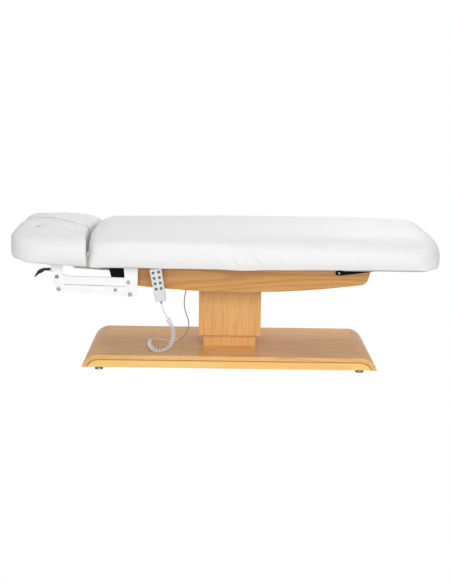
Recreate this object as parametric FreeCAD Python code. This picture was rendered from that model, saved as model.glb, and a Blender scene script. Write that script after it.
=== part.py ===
import FreeCAD, Part
import math
import os

V = FreeCAD.Vector

# Spa bed, millimetres. +Z up, +X towards the foot end, the near side is -Y.
# The origin is on the floor under the middle of the bed.

# Overall
BED_LENGTH = 2040.0
BED_WIDTH = 760.0
PIECE_GAP = 0.4

# Base with waterfall ends
BASE_LENGTH = 1420.0
BASE_WIDTH = 600.0
BASE_X = 22.0
BASE_TOP = 75.0
BASE_BOARD_T = 20.0
WATERFALL_R = 85.0
CORE_RECESS = 7.0

# Levelling feet
FOOT_HEIGHT = 14.0
FOOT_R = 19.0
FOOT_TOP_R = 12.0
FOOT_SIDES = 24
STEM_SIDES = 12
FOOT_PAD_T = 6.0
FOOT_STEM_R = 6.0
FOOT_STEM_DEPTH = 30.0
FOOT_FROM_END = 82.0
FOOT_FROM_SIDE = 32.0
FOOT_CLEARANCE = 0.08

# Column
INNER_COLUMN_LENGTH = 258.0
INNER_COLUMN_WIDTH = 198.0
INNER_COLUMN_WALL = 15.0
SLEEVE_LENGTH = 305.0
SLEEVE_WIDTH = 246.0
SLEEVE_WALL = 18.0
SLEEVE_BOTTOM = 135.0
SLEEVE_HEADROOM = 10.0
GROOVE_INSET = 24.0
GROOVE_SIZE = 2.0

# Lifting column inside the oak column
LIFT_TUBE = 110.0
LIFT_TUBE_WALL = 4.0
LIFT_RUN_GAP = 1.0
LIFT_PLATE_T = 8.0
RAM_BOTTOM = 140.0
MOTOR_R = 25.0
MOTOR_HEIGHT = 120.0
MOTOR_CAP_R = 15.0
MOTOR_CAP_H = 12.0
MOTOR_SIDES = 16

# Deck heights
DECK_Z = 500.0
DECK_T = 15.0
DECK_WIDTH = 602.0
DECK_INSET = 45.0
DECK_CORNER_R = 40.0
DECK_JOINT_R = 5.0
DECK_JOINT_GAP = 4.0

# Box
BOX_HEAD_X = -554.0
BOX_FOOT_X = 687.0
BOX_WIDTH = 520.0
BOX_SIDE_T = 18.0
BOX_BOTTOM_T = 9.0
BOX_LOW_X = 42.0
BOX_LOW_Z = 383.0
BOX_ARC_R = 4350.0
BOX_END_SLANT = 0.25
BOX_CORNER_R = 40.0
BOX_TOP_GAP = 3.0
END_BOARD_T = 15.0
END_BOARD_H = 52.0
END_BOARD_INSET = 3.0
BOTTOM_HEAD_INSET = 75.0
BOTTOM_FOOT_INSET = 65.0
CAP_T = 3.0
CAP_LENGTH = 76.0
CAP_DROP = 57.0
CAP_TUBE_GAP = 2.0
PANEL_CUT = 60.0

# Steel top frame
RAIL_T = 20.0
RAIL_H = 28.0
RAIL_FOOT_X = 600.0
RAIL_HEAD_INSET = 24.0
PLATE_DROP = 3.0
RAIL_GAP = 2.0
PLATE_T = 10.0
PLATE_WIDTH = 300.0
CROSS_BAR = 25.0
SEAT_POST_L = 40.0
SEAT_POST_INSET = 40.0

# Back section
BACK_HINGE_X = 70.0
BACK_RAISE = 65.0
TUBE_W = 25.0
TUBE_H = 20.0
TUBE_WALL = 2.0
BACK_TUBE_GAP = 7.5
BACK_FRAME_HEAD_X = -600.0
BACK_CROSS_X = -60.0
HINGE_LUG_R = 12.0
HINGE_PIN_R = 6.0
PIN_CLEARANCE = 0.05

# Leg section
LEG_HINGE_X = 535.0
LEG_HINGE_DROP = 15.0
LEG_RAISE = 35.0
LEG_ARM_T = 6.0
LEG_ARM_END_X = 700.0
LEG_ARM_ROOT_H = 25.0
LEG_ARM_TIP_H = 7.0
LEG_ARM_GAP = 3.0
LEG_FLANGE_W = 26.0
LEG_BOLT_R = 6.0
LEG_BOLT_HEAD_R = 9.0
LEG_BOLT_HEAD_T = 5.0
LEG_LUG_WALL = 5.0
LEG_FOOT_LENGTH = 80.0
LEG_FOOT_H = 14.0
LEG_PLATE_LENGTH = 60.0
LEG_PLATE_SIDE = 20.0
LEG_PLATE_T = 4.0

# Actuators that tilt the back and the legs
ACTUATOR_INSET = 39.0
ACTUATOR_W = 38.0
ACTUATOR_LENGTH = 200.0
ACTUATOR_NOSE = 48.0
ACTUATOR_ROD_R = 9.0
ROD_CLEARANCE = 0.08
ROD_ENGAGE = 208.0
BACK_PIN_DROP = 60.0
LEG_PIN_DROP = 50.0
CRANK_T = 14.0
CRANK_HALF_W = 14.0
CRANK_PIN_R = 5.0
CRANK_SLOT_GAP = 3.2
CRANK_TIP = 3.0
CRANK_END_R = 13.0
FORK_GAP = 1.5
FORK_CHEEK = 6.0
FORK_R = 11.0
FORK_LENGTH = 14.0
FORK_YOKE = 10.0
NOSE_STANDOFF = 28.0
NOSE_SHARE = 0.8
ACTUATOR_EDGE_R = 6.0
ACTUATOR_END_WALL = 20.0
HANGER_HALF = 25.0
HANGER_LAP = 8.0

# Mattress
MATTRESS_T = 183.0
MATTRESS_HORN = 32.0
MATTRESS_RIM_SHARE = 0.41
MATTRESS_SHOULDER_SHARE = 0.79
MATTRESS_HEAD_R = 65.0
MATTRESS_FOOT_R = 110.0
MATTRESS_FOOT_LOW_R = 32.0
MATTRESS_CORNER_R = 165.0
CUSHION_TUCK = 22.0
CUSHION_TUCK_RISE = 18.0
CUSHION_TUCK_IN = 6.0
CUSHION_LOW_R = 12.0
BELLY_SHARE = 0.27
SIDE_LEAN = 4.0
SHOULDER_IN = 80.0
SHOULDER_MID_IN = 31.0
SHOULDER_MID_SHARE = 0.67
SIDE_FLAT = 1.5
FOLD_SPARE = 0.9

# Head pad
PAD_LENGTH = 352.0
PAD_GAP = 10.0
PAD_RISE = 10.0
PAD_T = 178.0
PAD_RIM_SHARE = 0.51
PAD_SHOULDER_SHARE = 0.85
PAD_TIP_RISE = 16.0
PAD_TIP_LENGTH = 66.0
PAD_TIP_R = 60.0
PAD_UNDER_R = 200.0
PAD_CREST_LENGTH = 170.0
PAD_CREST_R = 450.0
PAD_NECK_DROP = 57.0
PAD_NECK_R = 20.0
PAD_END_R = 70.0
PAD_END_LOW_R = 40.0
PAD_PLAN_R = 140.0
CREASE_DEPTH = 8.0
CREASE_HALF_WIDTH = 40.0
CREASE_SLOPE = 0.55
TUFT_Y = 205.0
TUFT_FROM_HEAD = 123.0
TUFT_FROM_NECK = 61.0
TUFT_HEAD_DROP = 12.0
TUFT_NECK_DROP = 36.0
TUFT_R = 45.0
TUFT_DEPTH = 8.0
HEAD_BOARD_TIP_INSET = 165.0
HEAD_BOARD_FOOT_INSET = 32.0
HEAD_BOARD_SIDE_INSET = 79.0
HEAD_BOARD_TIP_R = 30.0
BOARD_CORNER_R = 10.0

# Headrest linkage, a parallelogram on each side
REAR_LOWER = (-452.0, 375.0)
ARM_REACH = (-336.0, 22.0)
ARM_SPACING = (-8.0, 58.0)
ARM_T = 12.0
ARM_WEB = 3.0
ARM_STANDOFF = 40.0
ARM_SEAM_GAP = 3.0
ARM_BOSS_R = 11.5
BRACKET_T = 4.0
BRACKET_GAP = 1.0
FLANGE_W = 40.0
FLANGE_T = 4.0
REAR_BRACKET_FRONT = 21.0
REAR_BRACKET_BACK = 45.0
HEAD_BRACKET_HALF = 27.0
PIVOT_R = 5.0
PIVOT_HEAD_R = 8.5
PIVOT_HEAD_T = 4.0
PIVOT_HEAD_CHAMFER = 2.0
PIVOT_END = 2.0
PIVOT_SIDES = 12
SEAM_FRONT_DROP = 8.0
SEAM_REAR_RISE = 7.0
CROSS_TUBE = 16.0
ARM_END = 17.0
ARM_RISE = 15.0
ARM_REAR_RISE = 19.0
ARM_STEP_START = 22.0
ARM_STEP_END = 44.0
ARM_FOOT = 12.0
ARM_CORNER_R = 12.0
REAR_FOOT_FRONT = 19.0
REAR_FOOT_BACK = 33.0
HEAD_FOOT_FRONT = 14.0
HEAD_FOOT_BACK = 28.0
BRACKET_FOOT_DROP = 12.0
BRACKET_FOOT_R = 8.5

# Gas spring of the headrest
GAS_INSET = 24.0
GAS_CYLINDER_R = 9.5
GAS_CYLINDER_LENGTH = 180.0
GAS_ROD_R = 4.0
GAS_EYE_R = 11.0
GAS_EYE_T = 10.0
GAS_NECK_R = 4.0
GAS_BASE = 30.0
GAS_ENGAGE = 90.0
GAS_EYE_GAP = 2.0

# Release lever
LEVER_PIVOT = (-838.0, 470.0)
LEVER_TIP = (-918.0, 433.0)
LEVER_Y = -200.0
LEVER_T = 16.0
LEVER_LUG_T = 5.0
LEVER_GAP = 0.5
LEVER_PIN_R = 3.0

# Handset
HANDSET_TOP_X = -332.0
HANDSET_TOP_Z = 507.0
HANDSET_STANDOFF = 70.5
HANDSET_LENGTH = 159.0
HANDSET_TOP_W = 57.0
HANDSET_FOOT_W = 51.0
HANDSET_FRONT_T = 13.0
HANDSET_BACK_T = 11.0
HANDSET_CORNER_R = 8.0
HANDSET_EDGE_R = 3.0
HANDSET_LEAN = 10.0
BUTTON_R = 6.4
BUTTON_GAP = 0.3
BUTTON_PROUD = 1.4
BUTTON_DEPTH = 5.0
BUTTON_TRAVEL = 1.0
BUTTON_EDGE = 0.7
BUTTON_PITCH_X = 26.0
BUTTON_PITCH_Z = 26.0
BUTTON_FIRST_Z = 19.0
BUTTON_SIDES = 16
BUTTON_DRAW_IN = 0.4
WELL_FLOOR = 0.5
BOOT_LENGTH = 14.4
BOOT_R = 7.0
BOOT_LIP = 1.2
HOOK_T = 3.0
HOOK_W = 22.0
HOOK_H = 26.0
HOOK_DROP = 6.0

# Cord
CORD_R = 2.5
CURL_R = 8.5
CURL_TURNS = 34
CURL_END = 5.0
CURL_SIDES = 5
CORD_SIDES = 8
GLAND_R = 9.0
GLAND_NECK_R = 6.0
GLAND_GAP = 0.1
GLAND_SIDES = 6
# Points of the cord's route; the second number is measured from the middle of the handset.
CORD_TAIL = [
    (-301.8, 0.0, 336.2), (-297.0, 0.0, 314.7), (-289.0, 5.0, 293.0), (-279.0, 15.5, 273.0),
]
CURL_ROUTE = [
    (-279.0, 15.5, 273.0), (-268.0, 25.5, 248.0), (-255.0, 37.5, 218.0), (-248.5, 55.5, 184.0),
    (-251.0, 74.5, 150.0), (-263.0, 87.5, 116.0), (-286.0, 87.5, 91.0), (-313.0, 80.5, 86.6),
    (-339.0, 92.5, 86.5), (-359.0, 136.5, 86.6), (-372.0, 190.5, 86.5), (-376.0, 246.5, 86.6),
    (-372.0, 294.5, 86.5),
]
CORD_LEAD = [
    (-372.0, 294.5, 86.5), (-369.0, 316.5, 84.0), (-352.0, 334.5, 80.0), (-327.0, 334.5, 78.0),
    (-297.0, 324.5, 77.9), (-266.0, 316.5, 78.0), (-236.0, 322.5, 80.0), (-211.0, 338.5, 90.0),
    (-192.0, 350.5, 114.0), (-182.0, 356.5, 144.0), (-184.0, 357.5, 174.0), (-199.0, 351.5, 216.0),
    (-208.0, 343.5, 262.0), (-202.0, 335.5, 312.0), (-196.0, 331.5, 348.0), (-195.0, 330.5, 381.0),
]

# Control box
CONTROL_LENGTH = 150.0
CONTROL_WIDTH = 110.0
CONTROL_HEIGHT = 38.0
CONTROL_X = -330.0
CONTROL_EDGE_R = 10.0

# Derived places
HALF_WIDTH = BED_WIDTH / 2
HEAD_X = -BED_LENGTH / 2
FOOT_X = BED_LENGTH / 2
DECK_TOP = DECK_Z + DECK_T
MATTRESS_HEAD_X = HEAD_X + PAD_LENGTH
MATTRESS_TOP = DECK_TOP + MATTRESS_T
PAD_BOTTOM = DECK_TOP + PAD_RISE
PAD_TOP = PAD_BOTTOM + PAD_T
HEAD_BOARD_TIP_X = HEAD_X + HEAD_BOARD_TIP_INSET
HEAD_BOARD_FOOT_X = MATTRESS_HEAD_X - HEAD_BOARD_FOOT_INSET
BACK_HINGE_Z = DECK_Z - TUBE_H / 2
LEG_HINGE_Z = DECK_Z - LEG_HINGE_DROP
BOX_TOP = DECK_Z - BOX_TOP_GAP
BOX_SIDE_IN = BOX_WIDTH / 2 - BOX_SIDE_T
RAIL_TOP = DECK_Z - TUBE_H - RAIL_GAP
RAIL_IN = BOX_SIDE_IN - RAIL_T
BACK_TUBE_Y = RAIL_IN - BACK_TUBE_GAP - TUBE_W / 2
ACTUATOR_Y = RAIL_IN - ACTUATOR_INSET
ARM_OUTER_Y = BOX_WIDTH / 2 + ARM_STANDOFF
GAS_Y = GAS_INSET - ARM_OUTER_Y
HANDSET_Y = -BOX_WIDTH / 2 - HANDSET_STANDOFF
PLATE_TOP = RAIL_TOP - PLATE_DROP
PLATE_BOTTOM = PLATE_TOP - PLATE_T
SLEEVE_TOP = PLATE_BOTTOM
INNER_COLUMN_TOP = SLEEVE_TOP - SLEEVE_HEADROOM
BACK_HALF_ANGLE = BACK_RAISE / 2 + FOLD_SPARE
LEG_HALF_ANGLE = LEG_RAISE / 2 + FOLD_SPARE
REAR_UPPER = (REAR_LOWER[0] + ARM_SPACING[0], REAR_LOWER[1] + ARM_SPACING[1])
FRONT_LOWER = (REAR_LOWER[0] + ARM_REACH[0], REAR_LOWER[1] + ARM_REACH[1])
FRONT_UPPER = (FRONT_LOWER[0] + ARM_SPACING[0], FRONT_LOWER[1] + ARM_SPACING[1])
BRACKET_IN = ARM_OUTER_Y + BRACKET_GAP
BRACKET_OUT = BRACKET_IN + BRACKET_T


# Shape helpers

def cord_points(route):
    """Points of a cord's route in the bed's frame."""
    return [(x, HANDSET_Y + y, z) for x, y, z in route]


def block(x0, x1, y0, y1, z0, z1):
    return Part.makeBox(x1 - x0, y1 - y0, z1 - z0, V(x0, y0, z0))


def rod_y(x, z, radius, y0, y1):
    return Part.makeCylinder(radius, y1 - y0, V(x, y0, z), V(0, 1, 0))


def rod_x(x0, x1, y, z, radius):
    return Part.makeCylinder(radius, x1 - x0, V(x0, y, z), V(1, 0, 0))


def rod_z(x, y, radius, z0, z1):
    return Part.makeCylinder(radius, z1 - z0, V(x, y, z0), V(0, 0, 1))


def sided_ring(centre, radius, along, sides):
    """Corners of a many-sided outline around a centre, square to along; the first comes again at the end."""
    first = V(1, 0, 0)
    second = along.cross(first)
    turns = [2 * math.pi * (i + 0.5) / sides for i in range(sides)]
    ring = [centre + (first * math.cos(a) + second * math.sin(a)) * radius for a in turns]
    return ring + ring[:1]


def sided_rod(start, length, r0, r1, along, sides):
    """Many-sided rod of flat faces that may taper from r0 to r1."""
    low = sided_ring(start, r0, along, sides)
    high = sided_ring(start + along * length, r1, along, sides)
    outlines = [low, high]
    for i in range(sides):
        outlines.append([low[i], low[i + 1], high[i + 1], high[i], low[i]])
    faces = [Part.Face(Part.makePolygon(outline)) for outline in outlines]
    solid = Part.makeSolid(Part.makeShell(faces))
    if solid.Volume < 0:
        solid.reverse()
    return solid


def sided_y(x, z, radius, y0, y1, sides):
    return sided_rod(V(x, y0, z), y1 - y0, radius, radius, V(0, 1, 0), sides)


def sided_z(x, y, radius, z0, z1, sides):
    return sided_rod(V(x, y, z0), z1 - z0, radius, radius, V(0, 0, 1), sides)


def on_plan(a, b):
    return V(a, b, 0)


def on_side(a, b):
    return V(a, 0, b)


def rounded_wire(corners, place):
    """Closed outline of straight lines with a tangent arc at each corner (a, b, radius)."""
    points = [place(a, b) for a, b, radius in corners]
    edges = []
    starts = []
    ends = []
    arcs = []
    for i, (a, b, radius) in enumerate(corners):
        here = points[i]
        back = (points[i - 1] - here).normalize()
        ahead = (points[(i + 1) % len(points)] - here).normalize()
        half = back.getAngle(ahead) / 2
        reach = radius / math.tan(half)
        bisector = (back + ahead).normalize()
        starts.append(here + back * reach)
        ends.append(here + ahead * reach)
        arcs.append(here + bisector * (radius / math.sin(half) - radius))
    for i, corner in enumerate(corners):
        if corner[2] > 0:
            edges.append(Part.Arc(starts[i], arcs[i], ends[i]).toShape())
        after = starts[(i + 1) % len(corners)]
        if ends[i].distanceToPoint(after) > 1e-6:
            edges.append(Part.LineSegment(ends[i], after).toShape())
    return Part.Wire(edges)


def plan_prism(corners, z0, z1):
    face = Part.Face(rounded_wire(corners, on_plan))
    face.translate(V(0, 0, z0))
    return face.extrude(V(0, 0, z1 - z0))


def side_prism(corners, y0, y1):
    face = Part.Face(rounded_wire(corners, on_side))
    face.translate(V(0, y0, 0))
    return face.extrude(V(0, y1 - y0, 0))


def mirrored(shape):
    return shape.mirror(V(0, 0, 0), V(0, 1, 0))


def both_sides(near):
    return Part.makeCompound([near, mirrored(near)])


def fused(shapes):
    result = shapes[0].fuse(shapes[1:])
    return result.removeSplitter()


def sharp(points):
    return [(a, b, 0.0) for a, b in points]


def square_tube(length, width, wall, z0, z1):
    """Upright square tube over the middle of the base."""
    outer = block(BASE_X - length / 2, BASE_X + length / 2, -width / 2, width / 2, z0, z1)
    inner_l = length / 2 - wall
    inner_w = width / 2 - wall
    return outer.cut(block(BASE_X - inner_l, BASE_X + inner_l, -inner_w, inner_w, z0, z1))


# Base

def waterfall_face(radius, top, bottom):
    """Side view of the base: a flat top that rolls over at both ends."""
    centre_z = BASE_TOP - WATERFALL_R
    outer_reach = math.sqrt(WATERFALL_R ** 2 - (FOOT_HEIGHT - centre_z) ** 2)
    centre_x = BASE_LENGTH / 2 - outer_reach
    reach = math.sqrt(radius ** 2 - (bottom - centre_z) ** 2)
    turn = math.acos((bottom - centre_z) / radius) / 2
    mid_x = centre_x + radius * math.sin(turn)
    mid_z = centre_z + radius * math.cos(turn)
    right = centre_x + reach

    def at(x, z):
        return V(BASE_X + x, 0, z)
    edges = [
        Part.LineSegment(at(-right, bottom), at(right, bottom)).toShape(),
        Part.Arc(at(right, bottom), at(mid_x, mid_z), at(centre_x, top)).toShape(),
        Part.LineSegment(at(centre_x, top), at(-centre_x, top)).toShape(),
        Part.Arc(at(-centre_x, top), at(-mid_x, mid_z), at(-right, bottom)).toShape(),
    ]
    return Part.Face(Part.Wire(edges))


def base_slab(radius, width):
    face = waterfall_face(radius, BASE_TOP - WATERFALL_R + radius, FOOT_HEIGHT)
    face.translate(V(0, -width / 2, 0))
    return face.extrude(V(0, width, 0))


def make_base_board():
    hollow = base_slab(WATERFALL_R - BASE_BOARD_T, BASE_WIDTH)
    return base_slab(WATERFALL_R, BASE_WIDTH).cut(hollow)


def foot_places():
    x = BASE_LENGTH / 2 - FOOT_FROM_END
    y = BASE_WIDTH / 2 - FOOT_FROM_SIDE
    return [(BASE_X + sx * x, sy * y) for sx in (-1, 1) for sy in (-1, 1)]


def make_base_core():
    core = base_slab(WATERFALL_R - BASE_BOARD_T, BASE_WIDTH - 2 * CORE_RECESS)
    for x, y in foot_places():
        bore = FOOT_STEM_R + FOOT_CLEARANCE
        core = core.cut(rod_z(x, y, bore, FOOT_HEIGHT, FOOT_HEIGHT + FOOT_STEM_DEPTH + 1))
    return core


def make_foot(x, y):
    up = V(0, 0, 1)
    pad = sided_z(x, y, FOOT_R, 0, FOOT_PAD_T, FOOT_SIDES)
    rim = sided_rod(V(x, y, FOOT_PAD_T), FOOT_HEIGHT - FOOT_PAD_T - 1, FOOT_R, FOOT_TOP_R, up, FOOT_SIDES)
    stem = sided_z(x, y, FOOT_STEM_R, FOOT_PAD_T, FOOT_HEIGHT + FOOT_STEM_DEPTH, STEM_SIDES)
    return fused([pad, rim, stem])


# Column and lifting gear

def corner_grooves(length, width, z0, z1):
    """Fine upright grooves a little in from the corners, on all four faces."""
    cuts = []
    for side in (-1, 1):
        across = side * (length / 2 - GROOVE_INSET)
        along = side * (width / 2 - GROOVE_INSET)
        for face in (-1, 1):
            y = face * width / 2
            x = BASE_X + face * length / 2
            cuts.append(sided_z(BASE_X + across, y, GROOVE_SIZE / 2, z0, z1, 4))
            cuts.append(sided_z(x, along, GROOVE_SIZE / 2, z0, z1, 4))
    return cuts


def make_inner_column():
    length = INNER_COLUMN_LENGTH
    width = INNER_COLUMN_WIDTH
    return square_tube(length, width, INNER_COLUMN_WALL, BASE_TOP, INNER_COLUMN_TOP)


def make_sleeve():
    sleeve = square_tube(SLEEVE_LENGTH, SLEEVE_WIDTH, SLEEVE_WALL, SLEEVE_BOTTOM, SLEEVE_TOP)
    return sleeve.cut(corner_grooves(SLEEVE_LENGTH, SLEEVE_WIDTH, SLEEVE_BOTTOM, SLEEVE_TOP))


def make_lift_lower():
    room_l = INNER_COLUMN_LENGTH / 2 - INNER_COLUMN_WALL - 1
    room_w = INNER_COLUMN_WIDTH / 2 - INNER_COLUMN_WALL - 1
    plate = block(BASE_X - room_l, BASE_X + room_l, -room_w, room_w, BASE_TOP, BASE_TOP + LIFT_PLATE_T)
    tube = square_tube(LIFT_TUBE, LIFT_TUBE, LIFT_TUBE_WALL, BASE_TOP, INNER_COLUMN_TOP)
    return fused([plate, tube])


def make_lift_upper():
    size = LIFT_TUBE - 2 * LIFT_TUBE_WALL - 2 * LIFT_RUN_GAP
    return square_tube(size, size, LIFT_TUBE_WALL, RAM_BOTTOM, PLATE_BOTTOM)


def make_lift_motor():
    x = BASE_X + LIFT_TUBE / 2 + MOTOR_R + 2
    z = BASE_TOP + LIFT_PLATE_T
    can = sided_z(x, 0, MOTOR_R, z, z + MOTOR_HEIGHT, MOTOR_SIDES)
    cap = sided_rod(V(x, 0, z + MOTOR_HEIGHT), MOTOR_CAP_H, MOTOR_R, MOTOR_CAP_R, V(0, 0, 1), MOTOR_SIDES)
    return fused([can, cap])


# Box and top frame

def box_arc_z(x, lift):
    return BOX_LOW_Z + BOX_ARC_R - math.sqrt((BOX_ARC_R - lift) ** 2 - (x - BOX_LOW_X) ** 2)


def box_end_x(z, sign):
    """Slanted end of the box: drawn in towards the bottom."""
    edge = BOX_FOOT_X if sign > 0 else BOX_HEAD_X
    return edge - sign * BOX_END_SLANT * (BOX_TOP - z)


def box_corner_x(sign):
    """Where the slanted end meets the curved lower edge."""
    x = BOX_FOOT_X if sign > 0 else BOX_HEAD_X
    for step in range(6):
        x = box_end_x(box_arc_z(x, 0), sign)
    return x


def box_side_face():
    left = box_corner_x(-1)
    right = box_corner_x(1)
    p_left = V(left, 0, box_arc_z(left, 0))
    p_right = V(right, 0, box_arc_z(right, 0))
    edges = [
        Part.LineSegment(V(BOX_HEAD_X, 0, BOX_TOP), V(BOX_FOOT_X, 0, BOX_TOP)).toShape(),
        Part.LineSegment(V(BOX_FOOT_X, 0, BOX_TOP), p_right).toShape(),
        Part.Arc(p_right, V(BOX_LOW_X, 0, BOX_LOW_Z), p_left).toShape(),
        Part.LineSegment(p_left, V(BOX_HEAD_X, 0, BOX_TOP)).toShape(),
    ]
    return Part.Face(Part.Wire(edges))


def make_box_side_near():
    face = box_side_face()
    face.translate(V(0, -BOX_WIDTH / 2, 0))
    side = face.extrude(V(0, BOX_SIDE_T, 0))
    low = [e for e in side.Edges if is_low_corner(e)]
    side = side.makeFillet(BOX_CORNER_R, low)
    hole = rod_y(LEG_HINGE_X, LEG_HINGE_Z, LEG_BOLT_R + PIN_CLEARANCE, -BOX_WIDTH / 2, -BOX_SIDE_IN)
    return side.cut(hole)


def is_low_corner(edge):
    box = edge.BoundBox
    across = box.YLength > BOX_SIDE_T / 2
    return across and box.ZMax < BOX_TOP - 10


def make_box_bottom():
    """Bent panel that follows the lower edge, with an opening for the sleeve and one for the cord gland."""
    x0 = BOX_HEAD_X + BOTTOM_HEAD_INSET
    x1 = BOX_FOOT_X - BOTTOM_FOOT_INSET
    a = [V(x, 0, box_arc_z(x, 0)) for x in (x0, BOX_LOW_X, x1)]
    b = [V(x, 0, box_arc_z(x, BOX_BOTTOM_T)) for x in (x1, BOX_LOW_X, x0)]
    edges = [
        Part.Arc(a[0], a[1], a[2]).toShape(),
        Part.LineSegment(a[2], b[0]).toShape(),
        Part.Arc(b[0], b[1], b[2]).toShape(),
        Part.LineSegment(b[2], a[0]).toShape(),
    ]
    face = Part.Face(Part.Wire(edges))
    face.translate(V(0, -BOX_SIDE_IN, 0))
    panel = face.extrude(V(0, 2 * BOX_SIDE_IN, 0))
    half_l = SLEEVE_LENGTH / 2 + PIECE_GAP
    half_w = SLEEVE_WIDTH / 2 + PIECE_GAP
    z0 = BOX_LOW_Z - PANEL_CUT
    z1 = BOX_LOW_Z + PANEL_CUT
    opening = block(BASE_X - half_l, BASE_X + half_l, -half_w, half_w, z0, z1)
    x, y, z = cord_points(CORD_LEAD)[-1]
    gland = rod_z(x, y, GLAND_NECK_R + GLAND_GAP, z0, z1)
    return panel.cut([opening, gland])


def make_box_end_foot():
    z = BOX_TOP - END_BOARD_H
    high_x = box_end_x(BOX_TOP, 1) - END_BOARD_INSET
    low_x = box_end_x(z, 1) - END_BOARD_INSET
    t = END_BOARD_T
    outline = sharp([(high_x, BOX_TOP), (low_x, z), (low_x - t, z), (high_x - t, BOX_TOP)])
    return side_prism(outline, -BOX_SIDE_IN, BOX_SIDE_IN)


def make_box_end_cap():
    """Black steel cap that closes the head end and returns along both sides."""
    z = BOX_TOP - CAP_DROP
    outer = sharp([
        (box_end_x(BOX_TOP, -1) - CAP_T, BOX_TOP), (BOX_HEAD_X + CAP_LENGTH, BOX_TOP),
        (BOX_HEAD_X + CAP_LENGTH, z), (box_end_x(z, -1) - CAP_T, z),
    ])
    half = BOX_WIDTH / 2
    shell = side_prism(outer, -half - CAP_T, half + CAP_T)
    inner = sharp([
        (box_end_x(BOX_TOP + 1, -1), BOX_TOP + 1), (BOX_HEAD_X + CAP_LENGTH + 1, BOX_TOP + 1),
        (BOX_HEAD_X + CAP_LENGTH + 1, z - 1), (box_end_x(z - 1, -1), z - 1),
    ])
    tube_y = BACK_TUBE_Y + TUBE_W / 2 + CAP_TUBE_GAP
    notch = block(BOX_HEAD_X - CAP_LENGTH, BOX_HEAD_X + CAP_LENGTH, -tube_y, tube_y, RAIL_TOP, BOX_TOP + 1)
    return shell.cut([side_prism(inner, -half, half), notch])


def make_top_frame():
    """Two rails joined by cross bars and by the plate that the lifting column carries."""
    head_x = BOX_HEAD_X + RAIL_HEAD_INSET
    z0 = RAIL_TOP - RAIL_H
    pieces = []
    for side in (-1, 1):
        y0, y1 = sorted((side * RAIL_IN, side * BOX_SIDE_IN))
        pieces.append(block(head_x, RAIL_FOOT_X, y0, y1, z0, RAIL_TOP))
        ear_z = BACK_HINGE_Z
        pieces.append(rod_y(BACK_HINGE_X, ear_z, HINGE_LUG_R, y0, y1))
        pieces.append(block(BACK_HINGE_X - HINGE_LUG_R, BACK_HINGE_X + HINGE_LUG_R, y0, y1, z0, ear_z))
        pieces.append(rod_y(LEG_HINGE_X, LEG_HINGE_Z, LEG_BOLT_R + LEG_LUG_WALL, y0, y1))
        for x in (BACK_HINGE_X + SEAT_POST_INSET, LEG_HINGE_X - SEAT_POST_INSET - SEAT_POST_L):
            pieces.append(block(x, x + SEAT_POST_L, y0, y1, z0, DECK_Z))
    plate_l = SLEEVE_LENGTH / 2
    x0 = BASE_X - plate_l
    x1 = BASE_X + plate_l
    pieces.append(block(x0, x1, -PLATE_WIDTH / 2, PLATE_WIDTH / 2, PLATE_BOTTOM, PLATE_TOP))
    for x in (x0, x1 - CROSS_BAR, head_x, CONTROL_X, RAIL_FOOT_X - CROSS_BAR):
        pieces.append(block(x, x + CROSS_BAR, -RAIL_IN - 1, RAIL_IN + 1, PLATE_BOTTOM, PLATE_TOP))
    frame = fused(pieces)
    reach = BOX_SIDE_IN + 1
    back_bore = rod_y(BACK_HINGE_X, BACK_HINGE_Z, HINGE_PIN_R + PIN_CLEARANCE, -reach, reach)
    leg_bore = rod_y(LEG_HINGE_X, LEG_HINGE_Z, LEG_BOLT_R + PIN_CLEARANCE, -reach, reach)
    return frame.cut([back_bore, leg_bore])


def make_hinge_pins():
    """Two pins of the back hinge and two bolts of the leg hinge."""
    inner = BACK_TUBE_Y - TUBE_W / 2
    back = sided_y(BACK_HINGE_X, BACK_HINGE_Z, HINGE_PIN_R, -BOX_SIDE_IN, -inner, PIVOT_SIDES)
    arm_out = BOX_WIDTH / 2 + LEG_ARM_GAP + LEG_ARM_T
    head_in = -arm_out - PIECE_GAP / 2
    shank = sided_y(LEG_HINGE_X, LEG_HINGE_Z, LEG_BOLT_R, head_in, -RAIL_IN, PIVOT_SIDES)
    head_out = head_in - LEG_BOLT_HEAD_T
    head = sided_y(LEG_HINGE_X, LEG_HINGE_Z, LEG_BOLT_HEAD_R, head_out, head_in, PIVOT_SIDES)
    leg = fused([shank, head])
    return Part.makeCompound([back, mirrored(back), leg, mirrored(leg)])


def make_control_box():
    z1 = PLATE_BOTTOM
    x0 = CONTROL_X - CONTROL_LENGTH / 2
    x1 = CONTROL_X + CONTROL_LENGTH / 2
    half = CONTROL_WIDTH / 2
    body = block(x0, x1, -half, half, z1 - CONTROL_HEIGHT, z1)
    upright = [e for e in body.Edges if e.BoundBox.ZLength > CONTROL_HEIGHT / 2]
    return body.makeFillet(CONTROL_EDGE_R, upright)


# Deck boards

def deck_board(x0, x1, r_head, r_foot):
    half = DECK_WIDTH / 2
    return plan_prism([(x0, -half, r_head), (x1, -half, r_foot), (x1, half, r_foot), (x0, half, r_head)],
                      DECK_Z, DECK_TOP)


def deck_edge(hinge_z, half_angle):
    """How far a deck board stands back from its hinge, so that it clears the next one when raised."""
    return (DECK_TOP - hinge_z) * math.tan(math.radians(half_angle)) + DECK_JOINT_GAP


# Back frame, crank and actuators

def tube_x(x0, x1, y, z0):
    outer = block(x0, x1, y - TUBE_W / 2, y + TUBE_W / 2, z0, z0 + TUBE_H)
    w = TUBE_W / 2 - TUBE_WALL
    inner = block(x0 + TUBE_WALL, x1 - TUBE_WALL, y - w, y + w, z0 + TUBE_WALL, z0 + TUBE_H - TUBE_WALL)
    return outer.cut(inner)


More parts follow.
